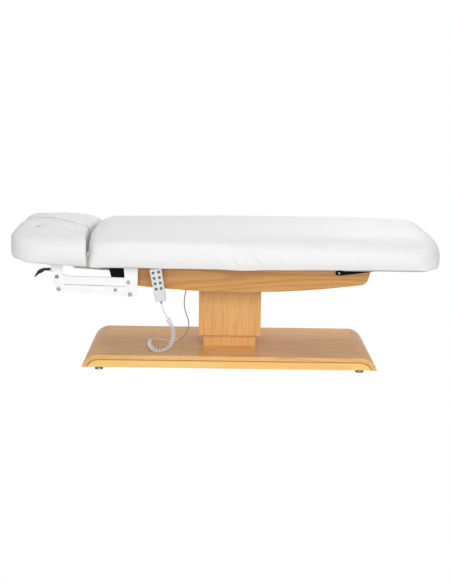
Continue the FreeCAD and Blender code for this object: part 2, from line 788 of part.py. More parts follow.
def crank_plate(hinge, drop, lean, y0, y1):
    """Flat arm from the hinge axis to past the actuator's pin, leaning by lean degrees towards +X."""
    far = drop / math.cos(math.radians(abs(lean)))
    end = far + CRANK_PIN_R + CRANK_SLOT_GAP + CRANK_TIP
    w = CRANK_HALF_W
    outline = [(-w, 0, 0), (-w, -end, CRANK_END_R), (w, -end, CRANK_END_R), (w, 0, 0)]
    face = Part.Face(rounded_wire(outline, on_side))
    face.translate(V(0, y0, 0))
    plate = face.extrude(V(0, y1 - y0, 0))
    plate = plate.fuse(rod_y(0, 0, w, y0, y1))
    half_slot = CRANK_PIN_R + CRANK_SLOT_GAP
    r = half_slot * 0.99
    slot = [(-half_slot, -drop + half_slot, r), (half_slot, -drop + half_slot, r),
            (half_slot, -far - half_slot, r), (-half_slot, -far - half_slot, r)]
    slot_face = Part.Face(rounded_wire(slot, on_side))
    slot_face.translate(V(0, y0 - 1, 0))
    plate = plate.cut(slot_face.extrude(V(0, y1 - y0 + 2, 0)))
    plate.rotate(V(0, 0, 0), V(0, 1, 0), -lean)
    plate.translate(V(hinge[0], 0, hinge[1]))
    return plate


def under_deck(crank):
    """The part of a crank below the deck boards."""
    box = crank.BoundBox
    return crank.common(block(box.XMin - 1, box.XMax + 1, box.YMin - 1, box.YMax + 1, box.ZMin - 1, DECK_Z))


def make_back_frame():
    z0 = DECK_Z - TUBE_H
    pieces = []
    for side in (-1, 1):
        y = side * BACK_TUBE_Y
        pieces.append(tube_x(BACK_FRAME_HEAD_X, BACK_HINGE_X - HINGE_LUG_R, y, z0))
        lug = rod_y(BACK_HINGE_X, BACK_HINGE_Z, TUBE_H / 2, y - TUBE_W / 2, y + TUBE_W / 2)
        neck = block(BACK_HINGE_X - HINGE_LUG_R, BACK_HINGE_X, y - TUBE_W / 2, y + TUBE_W / 2, z0, DECK_Z)
        pieces += [lug, neck]
    inner = BACK_TUBE_Y - TUBE_W / 2
    for x in (BACK_FRAME_HEAD_X, BACK_CROSS_X):
        pieces.append(block(x, x + TUBE_W, -inner, inner, z0, DECK_Z))
    lean = BACK_RAISE / 2
    crank = crank_plate((BACK_HINGE_X, BACK_HINGE_Z), BACK_PIN_DROP, lean, inner - CRANK_T, inner)
    pieces.append(under_deck(crank))
    frame = fused(pieces)
    bore = rod_y(BACK_HINGE_X, BACK_HINGE_Z, HINGE_PIN_R + PIN_CLEARANCE, -BOX_SIDE_IN, BOX_SIDE_IN)
    return frame.cut(bore)


def make_leg_crank():
    inner = -ACTUATOR_Y - CRANK_T / 2
    hinge = (LEG_HINGE_X, LEG_HINGE_Z)
    crank = crank_plate(hinge, LEG_PIN_DROP, -LEG_RAISE / 2, inner, inner + CRANK_T)
    x0 = LEG_HINGE_X
    x1 = LEG_HINGE_X + LEG_FOOT_LENGTH
    foot = block(x0, x1, inner, inner + CRANK_T, DECK_Z - LEG_FOOT_H, DECK_Z)
    y0 = inner - LEG_PLATE_SIDE
    y1 = inner + CRANK_T + LEG_PLATE_SIDE
    flange = block(x1 - LEG_PLATE_LENGTH, x1, y0, y1, DECK_Z - LEG_PLATE_T, DECK_Z)
    return fused([under_deck(crank), foot, flange])


def back_pin_x():
    return BACK_HINGE_X + BACK_PIN_DROP * math.tan(math.radians(BACK_RAISE / 2))


def leg_pin_x():
    return LEG_HINGE_X - LEG_PIN_DROP * math.tan(math.radians(LEG_RAISE / 2))


def rod_fork(pin_x, y, z, body_x, sign):
    """Actuator rod with a fork and a cross pin; sign is the side of the pin where the actuator lies."""
    half = CRANK_T / 2 + FORK_GAP
    out = half + FORK_CHEEK
    back = pin_x + sign * (CRANK_HALF_W + CRANK_SLOT_GAP + FORK_LENGTH)
    pieces = []
    for side in (-1, 1):
        y0, y1 = sorted((y + side * half, y + side * out))
        pieces.append(rod_y(pin_x, z, FORK_R, y0, y1))
        x0, x1 = sorted((pin_x, back))
        pieces.append(block(x0, x1, y0, y1, z - FORK_R, z + FORK_R))
    x0, x1 = sorted((back, back + sign * FORK_YOKE))
    pieces.append(block(x0, x1, y - out, y + out, z - FORK_R, z + FORK_R))
    pieces.append(rod_y(pin_x, z, CRANK_PIN_R, y - out, y + out))
    x0, x1 = sorted((back, body_x))
    pieces.append(rod_x(x0, x1, y, z, ACTUATOR_ROD_R))
    return fused(pieces)


def actuator_body(nose_x, y, z, sign):
    """Square actuator housing with a round nose that the rod runs in."""
    half = ACTUATOR_W / 2
    x0, x1 = sorted((nose_x + sign * ACTUATOR_NOSE, nose_x + sign * (ACTUATOR_NOSE + ACTUATOR_LENGTH)))
    case = block(x0, x1, y - half, y + half, z - half, z + half)
    long_edges = [e for e in case.Edges if e.BoundBox.XLength > ACTUATOR_LENGTH / 2]
    case = case.makeFillet(ACTUATOR_EDGE_R, long_edges)
    n0, n1 = sorted((nose_x, nose_x + sign * (ACTUATOR_NOSE + 1)))
    nose = rod_x(n0, n1, y, z, half * NOSE_SHARE)
    depth = ACTUATOR_NOSE + ACTUATOR_LENGTH - ACTUATOR_END_WALL
    b0, b1 = sorted((nose_x - sign, nose_x + sign * depth))
    bore = rod_x(b0, b1, y, z, ACTUATOR_ROD_R + ROD_CLEARANCE)
    hanger_top = RAIL_TOP - RAIL_H + HANGER_LAP
    c = (x0 + x1) / 2
    side = 1 if y > 0 else -1
    y0, y1 = sorted((y, side * RAIL_IN))
    hanger = block(c - HANGER_HALF, c + HANGER_HALF, y0, y1, z, hanger_top)
    return fused([case, nose, hanger]).cut(bore)


def back_actuator_z():
    return BACK_HINGE_Z - BACK_PIN_DROP


def leg_actuator_z():
    return LEG_HINGE_Z - LEG_PIN_DROP


def crank_y():
    return BACK_TUBE_Y - TUBE_W / 2 - CRANK_T / 2


def back_nose_x():
    return back_pin_x() + CRANK_HALF_W + CRANK_SLOT_GAP + NOSE_STANDOFF


def leg_nose_x():
    return leg_pin_x() - CRANK_HALF_W - CRANK_SLOT_GAP - NOSE_STANDOFF


# Mattress and head pad

def cushion_section(x0, x1, bottom, top, rim_share, shoulder_share):
    """Cross-section of a cushion, extruded along X: tucked foot, full sides, wide shoulders, crowned top."""
    half = HALF_WIDTH + SIDE_FLAT
    height = top - bottom
    belly = bottom + BELLY_SHARE * height
    rim = bottom + rim_share * height
    shoulder = bottom + shoulder_share * height
    mid = rim + SHOULDER_MID_SHARE * (shoulder - rim)

    def at(y, z):
        return V(x0, y, z)

    def flank(side):
        tuck = at(side * (half - CUSHION_TUCK), bottom)
        full = at(side * half, belly)
        edge = at(side * (half - SIDE_LEAN), rim)
        high = at(side * (half - SHOULDER_IN), shoulder)
        return [
            Part.Arc(tuck, at(side * (half - CUSHION_TUCK_IN), bottom + CUSHION_TUCK_RISE), full).toShape(),
            Part.Arc(full, at(side * (half - SIDE_LEAN / 4), (belly + rim) / 2), edge).toShape(),
            Part.Arc(edge, at(side * (half - SHOULDER_MID_IN), mid), high).toShape(),
        ]
    high = half - SHOULDER_IN
    crown = Part.Arc(at(-high, shoulder), at(0, top), at(high, shoulder)).toShape()
    tuck = half - CUSHION_TUCK
    floor = Part.LineSegment(at(tuck, bottom), at(-tuck, bottom)).toShape()
    edges = flank(-1) + [crown] + list(reversed(flank(1))) + [floor]
    return Part.Face(Part.Wire(edges)).extrude(V(x1 - x0, 0, 0))


def bowed_plan(x_end, gap, far_x, z0, z1):
    """Plan with a bowed edge: convex on the mattress, concave on the head pad."""
    half = HALF_WIDTH + 20
    sag = MATTRESS_HORN
    bow = (HALF_WIDTH ** 2 + sag ** 2) / (2 * sag) + gap
    centre_x = x_end + bow
    side_x = centre_x - math.sqrt(bow ** 2 - half ** 2)
    edges = [
        Part.Arc(V(side_x, half, 0), V(x_end, 0, 0), V(side_x, -half, 0)).toShape(),
        Part.LineSegment(V(side_x, -half, 0), V(far_x, -half, 0)).toShape(),
        Part.LineSegment(V(far_x, -half, 0), V(far_x, half, 0)).toShape(),
        Part.LineSegment(V(far_x, half, 0), V(side_x, half, 0)).toShape(),
    ]
    face = Part.Face(Part.Wire(edges))
    face.translate(V(0, 0, z0))
    return face.extrude(V(0, 0, z1 - z0))


def make_whole_mattress():
    bottom = DECK_TOP + PIECE_GAP
    top = MATTRESS_TOP
    body = cushion_section(MATTRESS_HEAD_X - 10, FOOT_X + 10, bottom, top, MATTRESS_RIM_SHARE,
                           MATTRESS_SHOULDER_SHARE)
    side = side_prism([(MATTRESS_HEAD_X, bottom, CUSHION_LOW_R), (FOOT_X, bottom, MATTRESS_FOOT_LOW_R),
                       (FOOT_X, top + 1, MATTRESS_FOOT_R), (MATTRESS_HEAD_X, top + 1, MATTRESS_HEAD_R)],
                      -HALF_WIDTH - 8, HALF_WIDTH + 8)
    half = HALF_WIDTH
    r = MATTRESS_CORNER_R
    corners = plan_prism([(MATTRESS_HEAD_X - 5, -half, 0), (FOOT_X, -half, r), (FOOT_X, half, r),
                          (MATTRESS_HEAD_X - 5, half, 0)], bottom - 1, top + 2)
    bow = bowed_plan(MATTRESS_HEAD_X, 0, FOOT_X + 10, bottom - 1, top + 2)
    return side.common(corners).common(bow).common(body)


def hinge_region(x0, hinge0, angle0, x1, hinge1, angle1, y):
    """Slice of the bed between two planes that lean away from their hinges."""
    z0 = DECK_Z - 60
    z1 = MATTRESS_TOP + 60

    def lean(x, hinge_z, angle, z):
        return x + (z - hinge_z) * math.tan(math.radians(angle))
    outline = sharp([
        (lean(x0, hinge0, angle0, z0), z0), (lean(x1, hinge1, angle1, z0), z0),
        (lean(x1, hinge1, angle1, z1), z1), (lean(x0, hinge0, angle0, z1), z1),
    ])
    return side_prism(outline, -y, y)


def wedge_region(x, hinge_z, angle, y):
    """V-shaped slice that stands on a hinge, a gap clear of the cushions on both sides."""
    z0 = DECK_TOP
    z1 = MATTRESS_TOP + 60
    low = (z0 - hinge_z) * math.tan(math.radians(angle)) - PIECE_GAP
    high = (z1 - hinge_z) * math.tan(math.radians(angle)) - PIECE_GAP
    return side_prism(sharp([(x - low, z0), (x + low, z0), (x + high, z1), (x - high, z1)]), -y, y)


def split_mattress(whole):
    """Back, seat and leg cushions, and the soft wedge that folds at each hinge."""
    y = HALF_WIDTH + 5
    bx, bz, ba = BACK_HINGE_X, BACK_HINGE_Z, BACK_HALF_ANGLE
    lx, lz, la = LEG_HINGE_X, LEG_HINGE_Z, LEG_HALF_ANGLE
    regions = {
        "mattress_back": hinge_region(MATTRESS_HEAD_X - 50, bz, 0, bx, bz, -ba, y),
        "mattress_fold_back": wedge_region(bx, bz, ba, y),
        "mattress_seat": hinge_region(bx, bz, ba, lx, lz, -la, y),
        "mattress_fold_leg": wedge_region(lx, lz, la, y),
        "mattress_leg": hinge_region(lx, lz, la, FOOT_X + 50, lz, 0, y),
    }
    return {name: whole.common(region) for name, region in regions.items()}


def pad_crease(neck_x):
    """V-shaped groove over the top of the head pad, on the middle line."""
    low = [V(HEAD_X, 0, PAD_TOP - PAD_END_R), V(HEAD_X + PAD_CREST_LENGTH / 2, 0, PAD_TOP - CREASE_DEPTH),
           V(neck_x, 0, PAD_TOP - PAD_NECK_DROP - CREASE_DEPTH)]
    roof = PAD_TOP + PAD_T
    head = V(HEAD_X, 0, roof)
    neck = V(neck_x, 0, roof)
    edges = [
        Part.Arc(low[0], low[1], low[2]).toShape(),
        Part.LineSegment(low[2], neck).toShape(),
        Part.LineSegment(neck, head).toShape(),
        Part.LineSegment(head, low[0]).toShape(),
    ]
    face = Part.Face(Part.Wire(edges))
    rise = CREASE_HALF_WIDTH * CREASE_SLOPE
    return [face.extrude(V(0, side * CREASE_HALF_WIDTH, rise)) for side in (-1, 1)]


def make_head_pad():
    foot_x = MATTRESS_HEAD_X - PAD_GAP
    neck_x = foot_x + MATTRESS_HORN + PAD_NECK_R
    body = cushion_section(HEAD_X - 5, neck_x + 5, PAD_BOTTOM, PAD_TOP, PAD_RIM_SHARE, PAD_SHOULDER_SHARE)
    tip_z = PAD_BOTTOM + PAD_TIP_RISE
    side = side_prism([(HEAD_X, tip_z, PAD_END_LOW_R), (HEAD_X + PAD_TIP_LENGTH, tip_z, PAD_TIP_R),
                       (HEAD_BOARD_FOOT_X, PAD_BOTTOM, PAD_UNDER_R), (neck_x, PAD_BOTTOM, CUSHION_LOW_R),
                       (neck_x, PAD_TOP - PAD_NECK_DROP, PAD_NECK_R),
                       (HEAD_X + PAD_CREST_LENGTH, PAD_TOP + 1, PAD_CREST_R),
                       (HEAD_X, PAD_TOP + 1, PAD_END_R)],
                      -HALF_WIDTH - 8, HALF_WIDTH + 8)
    half = HALF_WIDTH
    r = PAD_PLAN_R
    edge = neck_x + 2
    tip = HEAD_X - 1
    corners = plan_prism([(tip, -half, r), (edge, -half, 0), (edge, half, 0), (tip, half, r)],
                         PAD_BOTTOM - 5, PAD_TOP + 10)
    bay = bowed_plan(foot_x, PAD_GAP, neck_x + PAD_LENGTH, PAD_BOTTOM - 10, PAD_TOP + 20)
    pad = body.common(side).common(corners).cut(bay)
    dents = []
    tufts = ((HEAD_X + TUFT_FROM_HEAD, TUFT_HEAD_DROP), (MATTRESS_HEAD_X - TUFT_FROM_NECK, TUFT_NECK_DROP))
    for x, drop in tufts:
        for y in (-TUFT_Y, TUFT_Y):
            centre = V(x, y, PAD_TOP - drop + TUFT_R - TUFT_DEPTH)
            dents.append(Part.makeSphere(TUFT_R, centre, V(1, 0, 0)))
    return pad.cut(pad_crease(foot_x + MATTRESS_HORN) + dents)


# Headrest linkage

def arm_channel(outline, bosses):
    """Pressed channel, open towards the middle of the bed, with solid bosses at its pivots."""
    y0 = -ARM_OUTER_Y
    y1 = -ARM_OUTER_Y + ARM_T
    outer = Part.Face(rounded_wire(outline, on_side))
    outer.translate(V(0, y0, 0))
    body = outer.extrude(V(0, ARM_T, 0))
    wire = rounded_wire(outline, on_side)
    pocket = Part.Face(wire.makeOffset2D(-ARM_WEB))
    pocket.translate(V(0, y0 + ARM_WEB, 0))
    body = body.cut(pocket.extrude(V(0, ARM_T, 0)))
    rings = [rod_y(x, z, ARM_BOSS_R, y0, y1) for x, z in bosses]
    body = fused([body] + rings)
    return body.cut([rod_y(x, z, PIVOT_R + PIN_CLEARANCE, y0 - 1, y1 + 1) for x, z in bosses])


def seam_heights():
    """Heights of the seam between the two arms, at the front and at the rear."""
    front = (FRONT_UPPER[1] + FRONT_LOWER[1]) / 2 - SEAM_FRONT_DROP
    rear = (REAR_UPPER[1] + REAR_LOWER[1]) / 2 + SEAM_REAR_RISE
    return front, rear


def make_arms_upper():
    fx, fz = FRONT_UPPER
    rx, rz = REAR_UPPER
    front, rear = seam_heights()
    g = ARM_SEAM_GAP / 2
    outline = [
        (fx - ARM_END, front + g, ARM_CORNER_R), (rx + ARM_END, rear + g, ARM_CORNER_R),
        (rx + ARM_END, rz + ARM_REAR_RISE, ARM_CORNER_R), (fx + ARM_STEP_END, fz + 2, ARM_CORNER_R / 2),
        (fx + ARM_STEP_START, fz + ARM_RISE, ARM_CORNER_R / 2), (fx - ARM_END, fz + ARM_RISE, ARM_CORNER_R),
    ]
    return both_sides(arm_channel(outline, [FRONT_UPPER, REAR_UPPER]))


def make_arms_lower():
    fx, fz = FRONT_LOWER
    rx, rz = REAR_LOWER
    front, rear = seam_heights()
    g = ARM_SEAM_GAP / 2
    outline = [
        (fx - ARM_RISE, fz - ARM_FOOT, ARM_CORNER_R), (rx + ARM_RISE, rz - ARM_FOOT, ARM_CORNER_R),
        (rx + ARM_RISE, rear - g, ARM_CORNER_R), (fx - ARM_END / 2, front - g, ARM_CORNER_R),
    ]
    return both_sides(arm_channel(outline, [FRONT_LOWER, REAR_LOWER]))


def bracket_plate(outline, pivots, top, x0, x1):
    """Flat bracket outside the arms with a flange that turns in under a board."""
    plate = side_prism(outline, -BRACKET_OUT, -BRACKET_IN)
    flange = block(x0, x1, -BRACKET_OUT, -BRACKET_OUT + FLANGE_W, top - FLANGE_T, top)
    body = fused([plate, flange])
    bore = PIVOT_R + PIN_CLEARANCE
    return body.cut([rod_y(x, z, bore, -BRACKET_OUT - 1, -BRACKET_IN + 1) for x, z in pivots])


def make_rear_brackets():
    lx, lz = REAR_LOWER
    x0 = REAR_UPPER[0] - REAR_BRACKET_FRONT
    x1 = REAR_UPPER[0] + REAR_BRACKET_BACK
    low = lz - BRACKET_FOOT_DROP
    outline = [(lx - REAR_FOOT_FRONT, low, BRACKET_FOOT_R), (lx + REAR_FOOT_BACK, low, BRACKET_FOOT_R),
               (x1, DECK_Z, 0), (x0, DECK_Z, 0)]
    return both_sides(bracket_plate(outline, [REAR_UPPER, REAR_LOWER], DECK_Z, x0, x1))


def head_deck_z():
    return PAD_BOTTOM - DECK_T


def make_head_frame():
    lx, lz = FRONT_LOWER
    top = head_deck_z()
    x0 = FRONT_UPPER[0] - HEAD_BRACKET_HALF
    x1 = FRONT_UPPER[0] + HEAD_BRACKET_HALF
    low = lz - BRACKET_FOOT_DROP
    outline = [(lx - HEAD_FOOT_FRONT, low, BRACKET_FOOT_R), (lx + HEAD_FOOT_BACK, low, BRACKET_FOOT_R),
               (x1, top, 0), (x0, top, 0)]
    near = bracket_plate(outline, [FRONT_UPPER, FRONT_LOWER], top, x0, x1)
    tube = block(x0, x0 + CROSS_TUBE, -BRACKET_IN, BRACKET_IN, top - CROSS_TUBE, top)
    px, pz = LEVER_PIVOT
    lugs = []
    for side in (-1, 1):
        y0, y1 = sorted((LEVER_Y + side * (LEVER_T / 2 + LEVER_GAP),
                         LEVER_Y + side * (LEVER_T / 2 + LEVER_GAP + LEVER_LUG_T)))
        lug = side_prism([(px - 9, pz - 9, 5), (px + 9, pz - 9, 5), (x0 + CROSS_TUBE - 2, top - 4, 0),
                          (x0 + 2, top - 4, 0)], y0, y1)
        lugs.append(lug)
    half = LEVER_T / 2 + LEVER_GAP + LEVER_LUG_T
    pin = rod_y(px, pz, LEVER_PIN_R, LEVER_Y - half, LEVER_Y + half)
    return fused([near, mirrored(near), tube] + lugs + [pin])


def make_release_lever():
    """Flat cranked lever, thick in the middle, that turns on the pin of the head frame."""
    px, pz = LEVER_PIVOT
    tx, tz = LEVER_TIP
    outline = [
        (px + 8, pz - 6, 5), (px + 8, pz + 7, 5), (px - 40, pz + 5, 12), (px - 62, pz - 4, 10),
        (tx, tz + 5, 4), (tx, tz - 3, 3), (px - 58, pz - 22, 8), (px - 42, pz - 15, 8), (px - 30, pz - 5, 6),
    ]
    lever = side_prism(outline, LEVER_Y - LEVER_T / 2, LEVER_Y + LEVER_T / 2)
    return lever.cut(rod_y(px, pz, LEVER_PIN_R + PIN_CLEARANCE, LEVER_Y - LEVER_T, LEVER_Y + LEVER_T))


def pivot_bolt(place, inner_y):
    x, z = place
    shank = sided_y(x, z, PIVOT_R, -BRACKET_OUT, inner_y, PIVOT_SIDES)
    top_r = PIVOT_HEAD_R - PIVOT_HEAD_CHAMFER
    head = sided_rod(V(x, -BRACKET_OUT, z), PIVOT_HEAD_T, PIVOT_HEAD_R, top_r, V(0, -1, 0), PIVOT_SIDES)
    return fused([shank, head])


def make_rear_bolts():
    plain = -ARM_OUTER_Y + ARM_T + PIVOT_END
    long = GAS_Y + GAS_EYE_T / 2
    near = [pivot_bolt(REAR_UPPER, long), pivot_bolt(REAR_LOWER, plain)]
    far = [mirrored(pivot_bolt(REAR_UPPER, plain)), mirrored(pivot_bolt(REAR_LOWER, plain))]
    return Part.makeCompound(near + far)


def make_front_bolts():
    plain = -ARM_OUTER_Y + ARM_T + PIVOT_END
    long = GAS_Y + GAS_EYE_T / 2
    near = [pivot_bolt(FRONT_UPPER, plain), pivot_bolt(FRONT_LOWER, long)]
    far = [mirrored(pivot_bolt(FRONT_UPPER, plain)), mirrored(pivot_bolt(FRONT_LOWER, plain))]
    return Part.makeCompound(near + far)


def gas_direction():
    start = V(REAR_UPPER[0], GAS_Y, REAR_UPPER[1])
    end = V(FRONT_LOWER[0], GAS_Y, FRONT_LOWER[1])
    return start, end, (end - start).normalize()


def make_gas_cylinder():
    start, end, along = gas_direction()
    eye = rod_y(start.x, start.z, GAS_EYE_R, GAS_Y - GAS_EYE_T / 2, GAS_Y + GAS_EYE_T / 2)
    neck = Part.makeCylinder(GAS_NECK_R, GAS_BASE, start + along * (GAS_EYE_R - 3), along)
    tube = Part.makeCylinder(GAS_CYLINDER_R, GAS_CYLINDER_LENGTH, start + along * GAS_BASE, along)
    body = fused([eye, neck, tube])
    bore_start = start + along * (GAS_BASE + 10)
    bore = Part.makeCylinder(GAS_ROD_R + ROD_CLEARANCE, GAS_CYLINDER_LENGTH, bore_start, along)
    hole = rod_y(start.x, start.z, PIVOT_R + PIN_CLEARANCE, GAS_Y - GAS_EYE_T, GAS_Y + GAS_EYE_T)
    return body.cut([bore, hole])


def make_gas_rod():
    start, end, along = gas_direction()
    eye = rod_y(end.x, end.z, GAS_EYE_R, GAS_Y - GAS_EYE_T / 2, GAS_Y + GAS_EYE_T / 2)
    length = (end - start).Length
    inside = GAS_BASE + GAS_CYLINDER_LENGTH - GAS_ENGAGE
    stem = Part.makeCylinder(GAS_ROD_R, length - inside - GAS_EYE_R + 3, start + along * inside, along)
    hole = rod_y(end.x, end.z, PIVOT_R + GAS_EYE_GAP, GAS_Y - GAS_EYE_T, GAS_Y + GAS_EYE_T)
    return fused([eye, stem]).cut(hole)


# Leg arms

def make_leg_arms():
    y1 = -BOX_WIDTH / 2 - LEG_ARM_GAP
    y0 = y1 - LEG_ARM_T
    x = LEG_HINGE_X
    half = LEG_ARM_ROOT_H / 2
    low = LEG_HINGE_Z - half
    high = LEG_HINGE_Z + half - 1
    outline = [(x - half - 4, low, 11), (x + half, low, 8), (LEG_ARM_END_X, DECK_Z - LEG_ARM_TIP_H, 3),
               (LEG_ARM_END_X, DECK_Z, 0), (x + 24, DECK_Z, 0), (x + 10, high, 8), (x - half - 4, high, 11)]
    arm = side_prism(outline, y0, y1)
    flange = block(x + 40, LEG_ARM_END_X - 10, y0 - LEG_FLANGE_W, y1, DECK_Z - 3, DECK_Z)
    near = fused([arm, flange])
    near = near.cut(rod_y(x, LEG_HINGE_Z, LEG_BOLT_R + PIN_CLEARANCE, y0 - 1, y1 + 1))
    return both_sides(near)


# Handset

def handset_place(shape):
    shape.rotate(V(0, 0, 0), V(0, 1, 0), -HANDSET_LEAN)
    shape.translate(V(HANDSET_TOP_X, HANDSET_Y, HANDSET_TOP_Z))
    return shape


def handset_half(y0, y1, round_y):
    t = HANDSET_TOP_W / 2
    f = HANDSET_FOOT_W / 2
    r = HANDSET_CORNER_R
    outline = [(-t, 0, r), (-f, -HANDSET_LENGTH, r), (f, -HANDSET_LENGTH, r), (t, 0, r)]
    half = side_prism(outline, y0, y1)
    rim = [e for e in half.Edges if abs(e.BoundBox.YMin - round_y) + abs(e.BoundBox.YMax - round_y) < 1e-6]
    return half.makeChamfer(HANDSET_EDGE_R, rim)


def button_places():
    """Two columns of four buttons, drawn in a little towards the foot as the handset narrows."""
    places = []
    for row in range(4):
        for side in (-1, 1):
            spread = BUTTON_PITCH_X / 2 - row * BUTTON_DRAW_IN
            places.append((side * spread, -BUTTON_FIRST_Z - row * BUTTON_PITCH_Z))
    return places


def make_handset_front():
    shell = handset_half(-HANDSET_FRONT_T, 0, -HANDSET_FRONT_T)
    well = BUTTON_DEPTH + BUTTON_TRAVEL + WELL_FLOOR
    for x, z in button_places():
        front = -HANDSET_FRONT_T
        shell = shell.cut(sided_y(x, z, BUTTON_R + BUTTON_GAP, front - 1, front + well, BUTTON_SIDES))
    return handset_place(shell)


def make_handset_back():
    half = handset_half(0, HANDSET_BACK_T, HANDSET_BACK_T)
    boot = Part.makeCone(BOOT_R, CORD_R + BOOT_LIP, BOOT_LENGTH, V(0, 0, -HANDSET_LENGTH), V(0, 0, -1))
    return handset_place(fused([half, boot]))


def make_button(x, z):
    front = -HANDSET_FRONT_T - BUTTON_PROUD
    body = sided_y(x, z, BUTTON_R, front + BUTTON_EDGE, front + BUTTON_PROUD + BUTTON_DEPTH, BUTTON_SIDES)
    top_r = BUTTON_R - BUTTON_EDGE
    crown = sided_rod(V(x, front, z), BUTTON_EDGE, top_r, BUTTON_R, V(0, 1, 0), BUTTON_SIDES)
    return handset_place(fused([body, crown]))


def make_handset_hook():
    """Bent strap from the box side that holds the handset behind its top."""
    z1 = DECK_Z - HOOK_DROP
    z0 = z1 - HOOK_H
    back = HANDSET_Y + HANDSET_BACK_T
    x = HANDSET_TOP_X + (HANDSET_TOP_Z - z1 + HOOK_H / 2) * math.tan(math.radians(HANDSET_LEAN))
    arm = block(x - HOOK_W / 2, x + HOOK_W / 2, back, -BOX_WIDTH / 2, z0, z0 + HOOK_T)
    front = block(x - HOOK_W / 2, x + HOOK_W / 2, back, back + HOOK_T, z0, z1)
    root = block(x - HOOK_W / 2, x + HOOK_W / 2, -BOX_WIDTH / 2 - HOOK_T, -BOX_WIDTH / 2, z0, z1)
    return fused([arm, front, root])


# Cord

def turn_arc(before, here, after):
    """Tangent arc at one point of a route, as large as its two runs allow."""
    back = before - here
    ahead = after - here
    shorter = min(back.Length, ahead.Length)
    back.normalize()
    ahead.normalize()
    half = back.getAngle(ahead) / 2
    reach = 0.45 * shorter
    radius = reach * math.tan(half)
    bisector = (back + ahead).normalize()
    middle = here + bisector * (radius / math.sin(half) - radius)
    return here + back * reach, middle, here + ahead * reach, radius


def route_pieces(points):
    """Straight runs and arcs of a route, in order; also the arcs' radii."""
    route = [V(*p) for p in points]
    pieces = []
    radii = []
    here = route[0]
    for i in range(1, len(route) - 1):
        start, middle, end, radius = turn_arc(route[i - 1], route[i], route[i + 1])
        pieces.append((here, None, start))
        pieces.append((start, middle, end))
        radii.append(radius)
        here = end
    pieces.append((here, None, route[-1]))
    return pieces, radii


def piece_edge(piece):
    start, middle, end = piece
    if middle is None:
        return Part.LineSegment(start, end).toShape()
    return Part.Arc(start, middle, end).toShape()


def tube_along(edges, radius, sides):
    """Tube with a many-sided section of the same area as the round cord."""
    wire = Part.Wire(edges)
    first = edges[0]
    start = first.valueAt(first.FirstParameter)
    along = first.tangentAt(first.FirstParameter)
    across = along.cross(V(0, 0, 1)).normalize()
    up = along.cross(across)
    step = 2 * math.pi / sides
    reach = radius * math.sqrt(2 * math.pi / (sides * math.sin(step)))
    turns = [step * (i + 0.5) for i in range(sides + 1)]
    ring = Part.makePolygon([start + (across * math.cos(a) + up * math.sin(a)) * reach for a in turns])
    shell = Part.BRepOffsetAPI.MakePipeShell(wire)
    shell.add(ring)
    shell.build()
    shell.makeSolid()
    return shell.shape()


def make_cord(name, points):
    pieces, radii = route_pieces(points)
    edges = [piece_edge(p) for p in pieces]
    tube = tube_along(edges, CORD_R, CORD_SIDES)
    length = sum(e.Length for e in edges)
    share = tube.Volume / (math.pi * CORD_R ** 2 * length)
    print(name, "length", round(length), "radii", [round(r) for r in radii], "volume share", round(share, 4))
    return tube


class CurlAxis:
    """Points and a steady frame along the middle line of the curly cord."""

    def __init__(self, points):
        pieces, radii = route_pieces(points)
        self.edges = [piece_edge(p) for p in pieces]
        self.length = sum(e.Length for e in self.edges)
        self.starts = []
        done = 0.0
        for edge in self.edges:
            self.starts.append(done)
            done += edge.Length
        self.frames = [self.first_frame()]
        for edge in self.edges:
            first = self.tangent(edge, 0)
            last = self.tangent(edge, edge.Length)
            self.frames.append(self.carry(self.frames[-1], first, last))

    def tangent(self, edge, s):
        return edge.tangentAt(edge.getParameterByLength(s)).normalize()

    def first_frame(self):
        along = self.tangent(self.edges[0], 0)
        side = along.cross(V(0, 0, 1)).normalize()
        return side, along.cross(side)

    def carry(self, frame, old, new):
        turn = FreeCAD.Rotation(old, new)
        return turn.multVec(frame[0]), turn.multVec(frame[1])

    def at(self, s):
        s = min(max(s, 0.0), self.length)
        index = max(i for i, start in enumerate(self.starts) if start <= s)
        edge = self.edges[index]
        local = min(s - self.starts[index], edge.Length)
        here = edge.valueAt(edge.getParameterByLength(local))
        along = self.tangent(edge, local)
        side, up = self.carry(self.frames[index], self.tangent(edge, 0), along)
        return here, along, side, up


def curl_point(axis, t):
    """Point of the curl after t turns; it opens out from the middle line and closes again at the ends."""
    span = axis.length - 2 * CURL_END
    here, along, side, up = axis.at(CURL_END + span * t / CURL_TURNS)
    edge = min(t, CURL_TURNS - t)
    opening = min(max(edge, 0.0), 1.0)
    radius = CURL_R * opening * opening * (3 - 2 * opening)
    angle = 2 * math.pi * t
    return here + side * (radius * math.cos(angle)) + up * (radius * math.sin(angle))


def curl_tangent(axis, t):
    step = 0.002
    low = max(t - step, 0.0)
    high = min(t + step, CURL_TURNS)
    return (curl_point(axis, high) - curl_point(axis, low)).normalize()


def biarc(p0, t0, p1, t1):
    """Two arcs that join two points with their tangents."""
    v = p1 - p0
    t = t0 + t1
    a = 2 * (1 - t0.dot(t1))
    b = 2 * v.dot(t)
    c = -v.dot(v)
    if abs(a) < 1e-9:
        d = -c / b
    else:
        d = (-b + math.sqrt(b * b - 4 * a * c)) / (2 * a)
    joint = (p0 + p1 + (t0 - t1) * d) * 0.5
    return [arc_from(p0, t0, joint), arc_from(joint, (p1 - t1 * d - joint).normalize(), p1)]


def arc_from(start, along, end):
    chord = end - start
    across = chord - along * chord.dot(along)
    if across.Length < 1e-6:
        return Part.LineSegment(start, end).toShape()
    angle = along.getAngle(chord)
    normal = across.normalize()
    radius = chord.Length / (2 * math.sin(angle))
    middle = start + along * (radius * math.sin(angle)) + normal * (radius * (1 - math.cos(angle)))
    return Part.Arc(start, middle, end).toShape()


